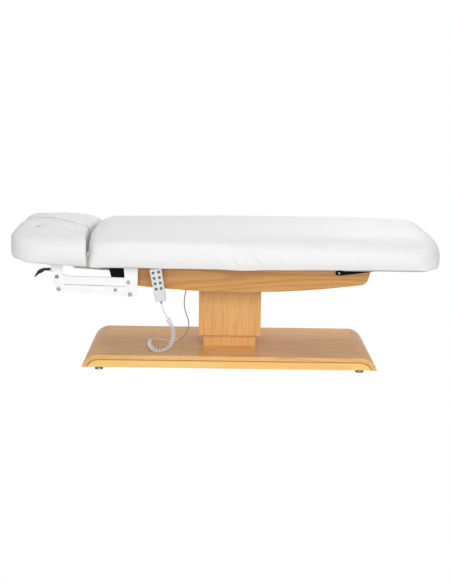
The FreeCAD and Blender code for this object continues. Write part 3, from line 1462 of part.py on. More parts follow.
def least_self_gap(points, apart):
    """Least distance between points of the curl that lie at least apart steps from each other."""
    least = 1e9
    for i, p in enumerate(points):
        for q in points[i + apart:i + 4 * apart]:
            least = min(least, p.distanceToPoint(q))
    return least - 2 * CORD_R


def make_cord_curl():
    axis = CurlAxis(cord_points(CURL_ROUTE))
    steps = CURL_TURNS * 2
    knots = [curl_point(axis, i / 2) for i in range(steps + 1)]
    tangents = [curl_tangent(axis, i / 2) for i in range(steps + 1)]
    start, along, side, up = axis.at(0)
    tangents[0] = along
    finish, last, side, up = axis.at(axis.length)
    tangents[-1] = last
    edges = [Part.LineSegment(start, knots[0]).toShape()]
    for i in range(steps):
        edges += biarc(knots[i], tangents[i], knots[i + 1], tangents[i + 1])
    edges.append(Part.LineSegment(knots[-1], finish).toShape())
    per_turn = 24
    points = [curl_point(axis, i / per_turn) for i in range(CURL_TURNS * per_turn + 1)]
    tube = tube_along(edges, CORD_R, CURL_SIDES)
    length = sum(e.Length for e in edges)
    share = tube.Volume / (math.pi * CORD_R ** 2 * length)
    print("cord_curl length", round(length), "least gap", round(least_self_gap(points, per_turn // 2), 2),
          "volume share", round(share, 4), "axis", round(axis.length))
    return tube


def make_cord_gland():
    """Gland nut under the box bottom that the lead passes out of."""
    x, y, z = cord_points(CORD_LEAD)[-1]
    low = box_arc_z(x + GLAND_R, 0)
    nut = sided_z(x, y, GLAND_R, z, low, GLAND_SIDES)
    neck = sided_z(x, y, GLAND_NECK_R, z, low + BOX_BOTTOM_T, PIVOT_SIDES)
    return fused([nut, neck])


# Assembly

def build():
    nodes = {}
    nodes["base_board"] = make_base_board()
    nodes["base_core"] = make_base_core()
    for i, (x, y) in enumerate(foot_places()):
        nodes["levelling_foot_%d" % (i + 1)] = make_foot(x, y)
    nodes["inner_column"] = make_inner_column()
    nodes["lift_column_lower"] = make_lift_lower()
    nodes["lift_motor"] = make_lift_motor()
    nodes["column_sleeve"] = make_sleeve()
    nodes["lift_column_upper"] = make_lift_upper()
    nodes["top_frame"] = make_top_frame()
    nodes["box_side_near"] = make_box_side_near()
    nodes["box_side_far"] = mirrored(make_box_side_near())
    nodes["box_bottom"] = make_box_bottom()
    nodes["box_end_foot"] = make_box_end_foot()
    nodes["box_end_cap"] = make_box_end_cap()
    nodes["hinge_pins"] = make_hinge_pins()
    nodes["control_box"] = make_control_box()
    edge_b = deck_edge(BACK_HINGE_Z, BACK_HALF_ANGLE)
    edge_l = deck_edge(LEG_HINGE_Z, LEG_HALF_ANGLE)
    deck_head_x = MATTRESS_HEAD_X + DECK_INSET
    deck_foot_x = FOOT_X - DECK_INSET
    joint_r = DECK_JOINT_R
    nodes["back_board"] = deck_board(deck_head_x, BACK_HINGE_X - edge_b, DECK_CORNER_R, joint_r)
    nodes["seat_board"] = deck_board(BACK_HINGE_X + edge_b, LEG_HINGE_X - edge_l, joint_r, joint_r)
    nodes["leg_board"] = deck_board(LEG_HINGE_X + edge_l, deck_foot_x, joint_r, DECK_CORNER_R * 2)
    nodes["back_frame"] = make_back_frame()
    nodes["leg_crank"] = make_leg_crank()
    nodes["leg_arms"] = make_leg_arms()
    nodes["back_actuator"] = actuator_body(back_nose_x(), crank_y(), back_actuator_z(), 1)
    nodes["leg_actuator"] = actuator_body(leg_nose_x(), -ACTUATOR_Y, leg_actuator_z(), -1)
    back_end = back_nose_x() + ROD_ENGAGE
    leg_end = leg_nose_x() - ROD_ENGAGE
    nodes["back_actuator_rod"] = rod_fork(back_pin_x(), crank_y(), back_actuator_z(), back_end, 1)
    nodes["leg_actuator_rod"] = rod_fork(leg_pin_x(), -ACTUATOR_Y, leg_actuator_z(), leg_end, -1)
    nodes.update(split_mattress(make_whole_mattress()))
    nodes["head_pad"] = make_head_pad()
    board_half = HALF_WIDTH - HEAD_BOARD_SIDE_INSET
    nodes["head_board"] = plan_prism(
        [(HEAD_BOARD_TIP_X, -board_half, HEAD_BOARD_TIP_R), (HEAD_BOARD_FOOT_X, -board_half, BOARD_CORNER_R),
         (HEAD_BOARD_FOOT_X, board_half, BOARD_CORNER_R), (HEAD_BOARD_TIP_X, board_half, HEAD_BOARD_TIP_R)],
        head_deck_z(), PAD_BOTTOM)
    nodes["head_frame"] = make_head_frame()
    nodes["head_arms_upper"] = make_arms_upper()
    nodes["head_arms_lower"] = make_arms_lower()
    nodes["rear_brackets"] = make_rear_brackets()
    nodes["rear_pivot_bolts"] = make_rear_bolts()
    nodes["front_pivot_bolts"] = make_front_bolts()
    nodes["gas_spring_cylinder"] = make_gas_cylinder()
    nodes["gas_spring_rod"] = make_gas_rod()
    nodes["release_lever"] = make_release_lever()
    nodes["handset_front"] = make_handset_front()
    nodes["handset_back"] = make_handset_back()
    nodes["handset_hook"] = make_handset_hook()
    for i, (x, z) in enumerate(button_places()):
        nodes["handset_button_%d" % (i + 1)] = make_button(x, z)
    nodes["cord_tail"] = make_cord("cord_tail", cord_points(CORD_TAIL))
    nodes["cord_curl"] = make_cord_curl()
    nodes["cord_lead"] = make_cord("cord_lead", cord_points(CORD_LEAD))
    nodes["cord_gland"] = make_cord_gland()
    return nodes


os.makedirs("parts", exist_ok=True)
for node, shape in build().items():
    shape.exportStep("parts/%s.step" % node)
    if not shape.isValid():
        print("not valid:", node)
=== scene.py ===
import math

import bmesh
import bpy
import numpy as np
from mathutils import Matrix, Vector, noise


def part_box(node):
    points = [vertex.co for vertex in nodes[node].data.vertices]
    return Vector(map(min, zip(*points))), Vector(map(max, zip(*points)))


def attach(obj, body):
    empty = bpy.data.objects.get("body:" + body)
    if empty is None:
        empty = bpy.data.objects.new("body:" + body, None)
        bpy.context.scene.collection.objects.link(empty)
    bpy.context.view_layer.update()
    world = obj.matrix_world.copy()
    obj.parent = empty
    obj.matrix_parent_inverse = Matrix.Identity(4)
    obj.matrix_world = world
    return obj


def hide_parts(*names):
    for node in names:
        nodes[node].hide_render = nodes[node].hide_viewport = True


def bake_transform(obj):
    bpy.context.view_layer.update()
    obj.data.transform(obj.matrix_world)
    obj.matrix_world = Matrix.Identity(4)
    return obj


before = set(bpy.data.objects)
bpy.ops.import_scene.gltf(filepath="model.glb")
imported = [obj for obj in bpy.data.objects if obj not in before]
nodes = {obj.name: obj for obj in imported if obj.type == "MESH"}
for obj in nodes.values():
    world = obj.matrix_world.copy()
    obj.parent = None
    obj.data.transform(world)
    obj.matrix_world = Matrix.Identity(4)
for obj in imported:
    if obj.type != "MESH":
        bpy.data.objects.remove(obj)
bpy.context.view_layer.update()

# Spa bed, metres: +Z up, +X towards the foot end, the near side is -Y.
scene = bpy.context.scene
scene.view_settings.view_transform = "Standard"

# Camera as fitted to the photograph: angles in degrees, focal length in pixels.
PHOTO_WIDTH = 452
PHOTO_HEIGHT = 584
SENSOR_WIDTH = 36.0
CAMERA_PLACE = (-0.0342, -5.3978, 1.4686)
CAMERA_FOCAL_PX = 1102.88
CAMERA_PITCH = 11.93
CAMERA_ROLL = 0.87
CAMERA_YAW = -0.39

SKY_STRENGTH = 0.52
FLOOR_HALF = 9.0
FLOOR_GREY = 0.80

# Cord: the three routes of the CAD, and how finely they are drawn.
CORD_R = 0.0025
CORD_SIDES = 10
ROUTE_STEPS = 12
JOIN_GAP = 0.0004
CURL_R = 0.0085
CURL_TURNS = 34
CURL_TURN_STEPS = 20
CURL_END = 0.005
CORD_TAIL = [
    (-0.3018, -0.3305, 0.3362), (-0.297, -0.3305, 0.3147), (-0.289, -0.3255, 0.293), (-0.279, -0.315, 0.273),
]
CURL_ROUTE = [
    (-0.279, -0.315, 0.273), (-0.268, -0.305, 0.248), (-0.255, -0.293, 0.218), (-0.2485, -0.275, 0.184),
    (-0.251, -0.256, 0.150), (-0.263, -0.243, 0.116), (-0.286, -0.243, 0.091), (-0.313, -0.250, 0.0866),
    (-0.339, -0.238, 0.0865), (-0.359, -0.194, 0.0866), (-0.372, -0.140, 0.0865), (-0.376, -0.084, 0.0866),
    (-0.372, -0.036, 0.0865),
]
CORD_LEAD = [
    (-0.372, -0.036, 0.0865), (-0.369, -0.014, 0.084), (-0.352, 0.004, 0.080), (-0.327, 0.004, 0.078),
    (-0.297, -0.006, 0.0779), (-0.266, -0.014, 0.078), (-0.236, -0.008, 0.080), (-0.211, 0.008, 0.090),
    (-0.192, 0.020, 0.114), (-0.182, 0.026, 0.144), (-0.184, 0.027, 0.174), (-0.199, 0.021, 0.216),
    (-0.208, 0.013, 0.262), (-0.202, 0.005, 0.312), (-0.196, 0.001, 0.348), (-0.195, 0.0, 0.381),
]

# Places on the cushions. The neck is the gap between the mattress and the head pad.
BACK_HINGE_X = 0.07
LEG_HINGE_X = 0.535
MATTRESS_CUT_X = 0.30
BOARD_TOP = 0.515
PAD_BOTTOM = 0.525
SEAM_HEAD_X = -0.985
TUFT_X = (-0.897, -0.729)
TUFT_Y = (-0.205, 0.205)
HANG_Y = 0.348
NECK_X = -0.62
NECK_ROOM = 0.0008


# Camera, light and floor

def make_camera():
    yaw, pitch, roll = (math.radians(a) for a in (CAMERA_YAW, CAMERA_PITCH, CAMERA_ROLL))
    right = Vector((math.cos(yaw), math.sin(yaw), 0.0))
    ahead = Vector((-math.sin(yaw) * math.cos(pitch), math.cos(yaw) * math.cos(pitch), -math.sin(pitch)))
    down = ahead.cross(right)
    across = right * math.cos(roll) - down * math.sin(roll)
    below = right * math.sin(roll) + down * math.cos(roll)
    turn = Matrix((across, -below, -ahead)).transposed().to_4x4()
    data = bpy.data.cameras.new("camera")
    data.sensor_width = SENSOR_WIDTH
    data.lens = CAMERA_FOCAL_PX * SENSOR_WIDTH / max(PHOTO_WIDTH, PHOTO_HEIGHT)
    camera = bpy.data.objects.new("camera", data)
    camera.matrix_world = Matrix.Translation(CAMERA_PLACE) @ turn
    scene.collection.objects.link(camera)
    scene.camera = camera


def area_light(name, place, target, size, power):
    data = bpy.data.lights.new(name, "AREA")
    data.shape = "RECTANGLE"
    data.size, data.size_y = size
    data.energy = power
    light = bpy.data.objects.new(name, data)
    light.location = place
    light.rotation_euler = (Vector(target) - Vector(place)).to_track_quat("-Z", "Y").to_euler()
    scene.collection.objects.link(light)


def show_as(tree, lit, shown, output):
    """Ends a backdrop's nodes: lit is what lights the part, shown is what the picture has behind it."""
    path = tree.nodes.new("ShaderNodeLightPath")
    mix = tree.nodes.new("ShaderNodeMixShader")
    out = tree.nodes.new(output)
    tree.links.new(path.outputs["Is Camera Ray"], mix.inputs[0])
    tree.links.new(lit.outputs[0], mix.inputs[1])
    tree.links.new(shown.outputs[0], mix.inputs[2])
    tree.links.new(mix.outputs[0], out.inputs[0])


def make_light():
    area_light("front_light", place=(0.3, -4.8, 2.1), target=(0.1, 0.0, 0.35), size=(4.0, 3.0), power=134.0)
    area_light("back_light", place=(-0.2, 1.9, 2.4), target=(0.1, 0.0, 0.6), size=(3.0, 1.2), power=18.0)
    area_light("foot_light", place=(1.2, 0.9, 1.9), target=(0.6, 0.0, 0.65), size=(1.2, 0.8), power=9.0)
    world = bpy.data.worlds.new("studio")
    scene.world = world
    world.use_nodes = True
    tree = world.node_tree
    tree.nodes.clear()
    soft = tree.nodes.new("ShaderNodeBackground")
    soft.inputs["Strength"].default_value = SKY_STRENGTH
    white = tree.nodes.new("ShaderNodeBackground")
    for shader in (soft, white):
        shader.inputs["Color"].default_value = rgb(1.0, 1.0, 1.0)
    show_as(tree, soft, white, "ShaderNodeOutputWorld")


def make_floor():
    mesh = bpy.data.meshes.new("floor")
    half = FLOOR_HALF
    corners = [(-half, -half, 0.0), (half, -half, 0.0), (half, half, 0.0), (-half, half, 0.0)]
    mesh.from_pydata(corners, [], [(0, 1, 2, 3)])
    floor = bpy.data.objects.new("floor", mesh)
    scene.collection.objects.link(floor)
    material = bpy.data.materials.new("floor_white")
    material.use_nodes = True
    tree = material.node_tree
    tree.nodes.clear()
    matt = tree.nodes.new("ShaderNodeBsdfDiffuse")
    matt.inputs["Color"].default_value = rgb(FLOOR_GREY, FLOOR_GREY, FLOOR_GREY)
    bright = tree.nodes.new("ShaderNodeEmission")
    show_as(tree, matt, bright, "ShaderNodeOutputMaterial")
    mesh.materials.append(material)


# Procedural materials

class Value:
    """A socket of a material's nodes that can be added, multiplied and so on."""

    def __init__(self, tree, socket):
        self.tree = tree
        self.socket = socket

    def node(self, kind, settings, sockets, out=0):
        """Adds a node: its settings come first, then its sockets; gives back one of its outputs."""
        made = self.tree.nodes.new(kind)
        for key, setting in settings.items():
            setattr(made, key, setting)
        for key, value in sockets.items():
            if isinstance(value, Value):
                self.tree.links.new(value.socket, made.inputs[key])
            else:
                made.inputs[key].default_value = value
        return Value(self.tree, made.outputs[out])

    def math(self, operation, first, second=0.0, third=0.0):
        return self.node("ShaderNodeMath", {"operation": operation}, {0: first, 1: second, 2: third})

    def __add__(self, other):
        return self.math("ADD", self, other)

    def __sub__(self, other):
        return self.math("SUBTRACT", self, other)

    def __mul__(self, other):
        return self.math("MULTIPLY", self, other)

    __radd__ = __add__
    __rmul__ = __mul__

    def floor(self):
        return self.math("FLOOR", self)

    def fract(self):
        return self.math("FRACT", self)

    def size(self):
        return self.math("ABSOLUTE", self)

    def root(self):
        return self.math("SQRT", self)

    def step(self, low, high):
        """Goes smoothly from 0 to 1 as this value goes from low to high."""
        return self.node("ShaderNodeMapRange", {"interpolation_type": "SMOOTHSTEP"},
                         {"Value": self, "From Min": low, "From Max": high})

    def split(self):
        parts = self.node("ShaderNodeSeparateXYZ", {}, {"Vector": self})
        outputs = parts.socket.node.outputs
        return [Value(self.tree, output) for output in outputs]

    def scaled(self, x, y, z):
        return self.node("ShaderNodeVectorMath", {"operation": "MULTIPLY"}, {0: self, 1: (x, y, z)})

    def shifted(self, amount):
        return self.node("ShaderNodeVectorMath", {"operation": "ADD"}, {0: self, 1: amount})

    def noise(self, scale, detail=2.0, rough=0.5):
        sockets = {"Vector": self, "Scale": scale, "Detail": detail, "Roughness": rough}
        return self.node("ShaderNodeTexNoise", {}, sockets)

    def cells(self, scale):
        return self.node("ShaderNodeTexVoronoi", {"feature": "SMOOTH_F1"}, {"Vector": self, "Scale": scale})

    def random(self):
        return self.node("ShaderNodeTexWhiteNoise", {"noise_dimensions": "1D"}, {"W": self})

    def mix(self, low, high):
        """Colour that goes from low to high as this value goes from 0 to 1."""
        return self.node("ShaderNodeMix", {"data_type": "RGBA"}, {0: self, 6: low, 7: high}, 2)


class Surface:
    """One material: a Principled shader with values that vary over the surface."""

    def __init__(self, name, **fixed):
        self.material = bpy.data.materials.new(name)
        self.material.use_nodes = True
        tree = self.material.node_tree
        self.shader = next(n for n in tree.nodes if n.type == "BSDF_PRINCIPLED")
        place = tree.nodes.new("ShaderNodeTexCoord")
        self.place = Value(tree, place.outputs["Object"])
        for key, value in fixed.items():
            self.shader.inputs[key.replace("_", " ")].default_value = value

    def link(self, key, value):
        value.tree.links.new(value.socket, self.shader.inputs[key])

    def bump(self, height, distance, strength):
        sockets = {"Height": height, "Distance": distance, "Strength": strength}
        self.link("Normal", height.node("ShaderNodeBump", {}, sockets))


def rgb(red, green, blue):
    return (red, green, blue, 1.0)


# Oak: the grain is stretched along X or Z, and each strip of veneer has a chance of its own.
OAK_LIGHT = rgb(0.80, 0.465, 0.175)
OAK_MID = rgb(0.66, 0.345, 0.105)
OAK_DARK = rgb(0.36, 0.15, 0.036)
OAK_BRIGHTEST = 0.95
GRAIN_STRETCH = {"X": (0.10, 1.0, 1.0), "Z": (1.0, 1.0, 0.16)}
STREAK_STRETCH = {"X": (0.025, 1.0, 1.0), "Z": (1.0, 1.0, 0.02)}
STRIP_SHIFT = 3.0
RINGS = 17.0
RING_WAVER = 0.25
RINGS_AND_STREAKS = 0.76
CLOUD_SHARE = 0.3
CHANCE_SHARE = 0.26
TONE_OFFSET = -0.16
# How dark the painted shadow under the base's bent board is.
OVERHANG_SHADOW_DARKNESS = 0.7

# The base's bent board: its roll's centre and radius, and the edges of the thin painted shadow under its
# overhang on the core.
BASE_MIDDLE_X = 0.022
BASE_ROLL_X = 0.6285
BASE_ROLL_Z = -0.010
BASE_ROLL_R = 0.065
OVERHANG_SHADOW_EDGES = (BASE_ROLL_R - 0.0080, BASE_ROLL_R - 0.0060)


def make_oak(name, along, strip, gloss, contrast=1.0, tint=(1.0, 1.0, 1.0), rings_share=0.42, overhang_shaded=False):
    """Oak with cathedral figure, pores and strips of veneer; along is the axis of the grain."""
    surface = Surface(name, Coat_Weight=0.12, Coat_Roughness=0.2)
    p = surface.place
    x, y, z = p.split()
    across = y + z if along == "X" else x + y
    chance = (across * (1.0 / strip)).floor().random()
    stretched = p.scaled(*GRAIN_STRETCH[along])
    fine = p.scaled(*STREAK_STRETCH[along])
    veneer = stretched.shifted(chance * STRIP_SHIFT)
    figure = veneer.noise(5.5, detail=1.5, rough=0.4)
    rings = (figure * RINGS + veneer.noise(60.0) * RING_WAVER).fract()
    late = rings.step(0.25, 0.95)
    streak = fine.noise(330.0, detail=3.0, rough=0.6)
    pores = fine.noise(900.0).step(0.58, 0.72)
    cloud = stretched.noise(9.0, detail=3.0)
    tone = late * rings_share + streak.step(0.3, 0.75) * (RINGS_AND_STREAKS - rings_share)
    tone = tone + cloud * CLOUD_SHARE + chance * CHANCE_SHARE + TONE_OFFSET
    light = rgb(*(min(c * t, OAK_BRIGHTEST) for c, t in zip(OAK_LIGHT, tint)))
    middle = rgb(*(c * t for c, t in zip(OAK_MID, tint)))
    colour = ((tone + -0.5) * contrast + 0.5).step(0.0, 1.0).mix(light, middle)
    marks = pores * 0.24 + late * pores * 0.2 + streak.step(0.55, 0.8) * 0.16
    colour = (marks * contrast).mix(colour, OAK_DARK)
    # Painted shadow: the thin dark line that the bent board's overhang casts on the core.
    if overhang_shaded:
        colour = (overhang_shadow(p) * OVERHANG_SHADOW_DARKNESS).mix(colour, OAK_DARK)
    surface.link("Base Color", colour)
    surface.link("Roughness", cloud * 0.1 + pores * 0.18 + gloss)
    surface.bump(pores * -1.0 + streak * 0.35, distance=0.0002, strength=0.55)
    return surface.material


def overhang_shadow(place):
    """1 on the thin line of painted shadow where the base's core meets the bent board, else 0."""
    x, _, z = place.split()
    out = x.math("MAXIMUM", (x - BASE_MIDDLE_X).size() - BASE_ROLL_X, 0.0)
    up = z - BASE_ROLL_Z
    reach = (out * out + up * up).root()
    return reach.step(*OVERHANG_SHADOW_EDGES)


def make_plywood():
    """Bare plywood with its plies as bands in Z."""
    plies_per_metre = 420.0
    surface = Surface("plywood", Specular_IOR_Level=0.35)
    p = surface.place
    _, _, z = p.split()
    plies = (z * plies_per_metre).fract().step(0.35, 0.6)
    streak = p.scaled(0.06, 1.0, 1.0).noise(120.0, detail=3.0)
    colour = (plies * 0.5 + streak * 0.5).mix(rgb(0.42, 0.28, 0.15), rgb(0.24, 0.14, 0.065))
    surface.link("Base Color", colour)
    surface.link("Roughness", streak * 0.2 + 0.55)
    surface.bump(streak, distance=0.0002, strength=0.4)
    return surface.material


# Painted shade in the crease of the head pad's seam and in its tuft dimples. A pair says where it starts
# and where it is full: beside the seam, round a tuft, along the pad and up its side.
SEAM_SHADE_COLOUR = rgb(0.20, 0.20, 0.205)
SEAM_SHADE_DARKNESS = 0.85
SEAM_EDGES = (0.0165, 0.0065)
TUFT_EDGES = (0.014, 0.006)
SEAM_START = (SEAM_HEAD_X + 0.008, SEAM_HEAD_X + 0.035)
SEAM_LEVEL = (0.60, 0.62)


def seam_shade(place):
    """1 where shade is painted in the seam and the tufts on top of the head pad, else 0."""
    x, y, z = place.split()
    off = y.size()
    along = (x - sum(TUFT_X) / 2.0).size() - (TUFT_X[1] - TUFT_X[0]) / 2.0
    side = off - TUFT_Y[1]
    reach = (along * along + side * side).root()
    hollow_shade = off.math("MAXIMUM", off.step(*SEAM_EDGES), reach.step(*TUFT_EDGES))
    topside = x.step(*SEAM_START) * z.step(*SEAM_LEVEL)
    return hollow_shade * topside


def make_leatherette(name, seam_and_tufts):
    """White leatherette with a fine grain; on the head pad, shade is painted into the seam and the tufts."""
    surface = Surface(name, Sheen_Weight=0.22, Sheen_Roughness=0.4, Specular_IOR_Level=0.45)
    p = surface.place
    grain = p.shifted(p.noise(140.0) * 0.004).cells(620.0)
    fine = p.noise(1900.0)
    cloud = p.noise(7.0, detail=3.0)
    crease = p.noise(38.0, detail=4.0, rough=0.65)
    shade = cloud * 0.35 + crease * 0.3 + grain.step(0.1, 0.6) * 0.35
    colour = shade.mix(rgb(0.785, 0.785, 0.79), rgb(0.835, 0.835, 0.835))
    if seam_and_tufts:
        # Painted shade in the seam crease and the tuft dimples of the head pad.
        colour = (seam_shade(p) * SEAM_SHADE_DARKNESS).mix(colour, SEAM_SHADE_COLOUR)
    surface.link("Base Color", colour)
    surface.link("Roughness", grain * 0.18 + cloud * 0.1 + 0.40)
    surface.bump(grain * 0.8 + fine * 0.12 + crease * 0.9, distance=0.0003, strength=0.42)
    return surface.material


def make_paint(name, base, worn, rough, peel, shine=0.5):
    """Powder coat: fine orange peel, a trace of dust and wear."""
    surface = Surface(name, Coat_Weight=shine * 0.16, Coat_Roughness=0.25, Specular_IOR_Level=shine)
    p = surface.place
    peeled = p.noise(900.0)
    cloud = p.noise(16.0, detail=4.0, rough=0.6)
    surface.link("Base Color", cloud.step(0.3, 0.75).mix(base, worn))
    surface.link("Roughness", cloud * 0.14 + peeled * 0.08 + rough)
    surface.bump(peeled, distance=0.00012, strength=peel)
    return surface.material


def make_zinc(name, tint, rough):
    """Zinc plate: spangle and fine brushing, a little darker in places."""
    surface = Surface(name, Metallic=1.0)
    p = surface.place
    spangle = p.cells(420.0)
    brushed = p.scaled(1.0, 0.08, 1.0).noise(1400.0)
    darker = rgb(tint[0] * 0.72, tint[1] * 0.73, tint[2] * 0.75)
    surface.link("Base Color", (spangle * 0.6 + brushed * 0.4).mix(tint, darker))
    surface.link("Roughness", brushed * 0.16 + spangle * 0.08 + rough)
    surface.bump(brushed, distance=0.00006, strength=0.4)
    return surface.material


def make_plastic(name, base, second, rough, texture):
    """Moulded plastic with a fine spark texture."""
    surface = Surface(name, Specular_IOR_Level=0.45)
    p = surface.place
    spark = p.noise(2600.0)
    cloud = p.noise(30.0, detail=3.0)
    surface.link("Base Color", cloud.mix(base, second))
    surface.link("Roughness", spark * 0.14 + cloud * 0.06 + rough)
    surface.bump(spark, distance=0.00008, strength=texture)
    return surface.material


def make_cord_sheath():
    """Cord plastic, pale on the curl and grey on the lead that rises to the box."""
    grey_from_x = (-0.238, -0.226)
    surface = Surface("cord_sheath", Specular_IOR_Level=0.45)
    p = surface.place
    x, _, _ = p.split()
    cloud = p.noise(60.0, detail=3.0)
    pale = cloud.mix(rgb(0.72, 0.725, 0.735), rgb(0.79, 0.79, 0.80))
    grey = cloud.mix(rgb(0.30, 0.29, 0.285), rgb(0.36, 0.35, 0.345))
    surface.link("Base Color", x.step(*grey_from_x).mix(pale, grey))
    surface.link("Roughness", cloud * 0.12 + 0.34)
    surface.bump(p.noise(1800.0), distance=0.00006, strength=0.3)
    return surface.material


def make_woods():
    return {
        "oak_board": make_oak("oak_board", "X", strip=0.19, gloss=0.26, contrast=1.6, tint=(1.15, 1.13, 1.08),
                              rings_share=0.28),
        "oak_core": make_oak("oak_core", "X", strip=0.19, gloss=0.36, contrast=0.6, tint=(1.55, 1.5, 1.38),
                             overhang_shaded=True),
        "oak_box": make_oak("oak_box", "X", strip=0.31, gloss=0.36, contrast=1.7, tint=(0.80, 0.69, 0.48)),
        "oak_column": make_oak("oak_column", "Z", strip=0.034, gloss=0.36, contrast=1.1,
                               tint=(1.06, 1.02, 0.96), rings_share=0.12),
        "plywood": make_plywood(),
    }


def make_metals():
    return {
        "white_steel": make_paint("white_powder_coat", rgb(0.91, 0.91, 0.912), rgb(0.945, 0.945, 0.945),
                                  rough=0.3, peel=0.35),
        "black_steel": make_paint("black_powder_coat", rgb(0.003, 0.003, 0.0031), rgb(0.005, 0.005, 0.0052),
                                  rough=0.6, peel=0.5, shine=0.14),
        "pale_board": make_paint("pale_board", rgb(0.58, 0.585, 0.59), rgb(0.66, 0.665, 0.67),
                                 rough=0.6, peel=0.5, shine=0.3),
        "grey_steel": make_paint("grey_lacquer", rgb(0.10, 0.105, 0.11), rgb(0.14, 0.145, 0.15),
                                 rough=0.35, peel=0.4),
        "zinc": make_zinc("zinc", rgb(0.56, 0.57, 0.60), rough=0.26),
        "dark_zinc": make_zinc("dark_zinc", rgb(0.20, 0.205, 0.215), rough=0.3),
    }


def make_plastics():
    return {
        "handset": make_plastic("handset_grey", rgb(0.66, 0.68, 0.685), rgb(0.72, 0.74, 0.745),
                                rough=0.36, texture=0.4),
        "handset_back": make_plastic("handset_back_grey", rgb(0.36, 0.375, 0.39), rgb(0.41, 0.425, 0.44),
                                     rough=0.4, texture=0.5),
        "button": make_plastic("button_dark", rgb(0.018, 0.020, 0.024), rgb(0.03, 0.032, 0.036),
                               rough=0.42, texture=0.3),
        "button_face": make_plastic("button_face", rgb(0.20, 0.205, 0.21), rgb(0.26, 0.265, 0.27),
                                    rough=0.42, texture=0.3),
        "black_plastic": make_plastic("black_plastic", rgb(0.012, 0.012, 0.013), rgb(0.022, 0.022, 0.023),
                                      rough=0.42, texture=0.6),
        "cord": make_cord_sheath(),
        "rubber": make_plastic("black_rubber", rgb(0.012, 0.012, 0.012), rgb(0.025, 0.024, 0.023),
                               rough=0.62, texture=0.7),
    }


def make_materials():
    leathers = {
        "leatherette": make_leatherette("white_leatherette", False),
        "pad_leatherette": make_leatherette("white_leatherette_seam_shaded", True),
    }
    return {**make_woods(), **leathers, **make_metals(), **make_plastics()}


# Mesh helpers

def add_object(name, mesh, body, material):
    """Links a finished mesh as a piece that rides on a body, where one is given."""
    piece = bpy.data.objects.new(name, mesh)
    scene.collection.objects.link(piece)
    mesh.materials.clear()
    mesh.materials.append(material)
    if body:
        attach(piece, body)
    return piece


def shade_smooth(mesh):
    mesh.polygons.foreach_set("use_smooth", [True] * len(mesh.polygons))


def smooth_mesh(name, vertices, faces):
    mesh = bpy.data.meshes.new(name)
    mesh.from_pydata(vertices, [], faces)
    shade_smooth(mesh)
    mesh.update()
    return mesh


def ring_faces(rings, sides):
    """Faces between neighbouring rings of points."""
    faces = []
    for ring in range(rings - 1):
        for i in range(sides):
            j = (i + 1) % sides
            low, high = ring * sides, (ring + 1) * sides
            faces.append((low + i, low + j, high + j, high + i))
    return faces


def lathe_mesh(name, profile, place, axis, steps):
    """Turned solid: profile pairs are (radius, height along axis), from bottom centre to top centre."""
    turn = Vector(axis).to_track_quat("Z", "Y").to_matrix()
    vertices = []
    for radius, height in profile:
        for i in range(steps):
            angle = 2 * math.pi * i / steps
            spot = Vector((radius * math.cos(angle), radius * math.sin(angle), height))
            vertices.append(Vector(place) + turn @ spot)
    mesh = smooth_mesh(name, vertices, ring_faces(len(profile), steps))
    bm = bmesh.new()
    bm.from_mesh(mesh)
    bmesh.ops.remove_doubles(bm, verts=bm.verts, dist=1e-6)
    bmesh.ops.recalc_face_normals(bm, faces=bm.faces)
    bm.to_mesh(mesh)
    bm.free()
    return mesh


def crisp(piece, width, segments=2, angle=35.0):
    """Rounds the sharp edges a little, so that they catch the light."""
    bevel = piece.modifiers.new("edge", "BEVEL")
    bevel.width = width
    bevel.segments = segments
    bevel.limit_method = "ANGLE"
    bevel.angle_limit = math.radians(angle)
    bevel.harden_normals = False


# Cord

def route_points(points):
    """Points along the smooth line through a cord's route."""
    curve = bpy.data.curves.new("route", "CURVE")
    curve.dimensions = "3D"
    spline = curve.splines.new("NURBS")
    spline.points.add(len(points) - 1)
    for spot, place in zip(spline.points, points):
        spot.co = (*place, 1.0)
    spline.order_u = 3
    spline.use_endpoint_u = True
    curve.resolution_u = ROUTE_STEPS
    line = bpy.data.objects.new("route", curve)
    scene.collection.objects.link(line)
    mesh = bpy.data.meshes.new_from_object(line)
    found = [v.co.copy() for v in mesh.vertices]
    bpy.data.objects.remove(line)
    bpy.data.curves.remove(curve)
    bpy.data.meshes.remove(mesh)
    return found


def carried_frames(path):
    """Side and upward vectors along a path, turned as little as possible."""
    frames = []
    side = None
    for i in range(len(path)):
        along = (path[min(i + 1, len(path) - 1)] - path[max(i - 1, 0)]).normalized()
        if side is None:
            side = along.cross(Vector((0.0, 0.0, 1.0))).normalized()
        else:
            side = (side - along * side.dot(along)).normalized()
        frames.append((side, along.cross(side)))
    return frames


def curl_path():
    """Helix of the curly cord round the points of its route."""
    axis = route_points(CURL_ROUTE)
    frames = carried_frames(axis)
    lengths = np.concatenate([[0.0], np.cumsum([(b - a).length for a, b in zip(axis, axis[1:])])])
    steps = CURL_TURNS * CURL_TURN_STEPS
    found = []
    for i in range(steps + 1):
        turns = i * CURL_TURNS / steps
        along = CURL_END + (lengths[-1] - 2 * CURL_END) * i / steps
        k = int(np.searchsorted(lengths, along)) - 1
        k = min(max(k, 0), len(axis) - 2)
        t = (along - lengths[k]) / (lengths[k + 1] - lengths[k])
        centre = axis[k].lerp(axis[k + 1], t)
        side = frames[k][0].lerp(frames[k + 1][0], t)
        up = frames[k][1].lerp(frames[k + 1][1], t)
        opening = min(turns, CURL_TURNS - turns, 1.0)
        radius = CURL_R * opening * opening * (3 - 2 * opening)
        angle = 2 * math.pi * turns
        found.append(centre + side * (radius * math.cos(angle)) + up * (radius * math.sin(angle)))
    return found


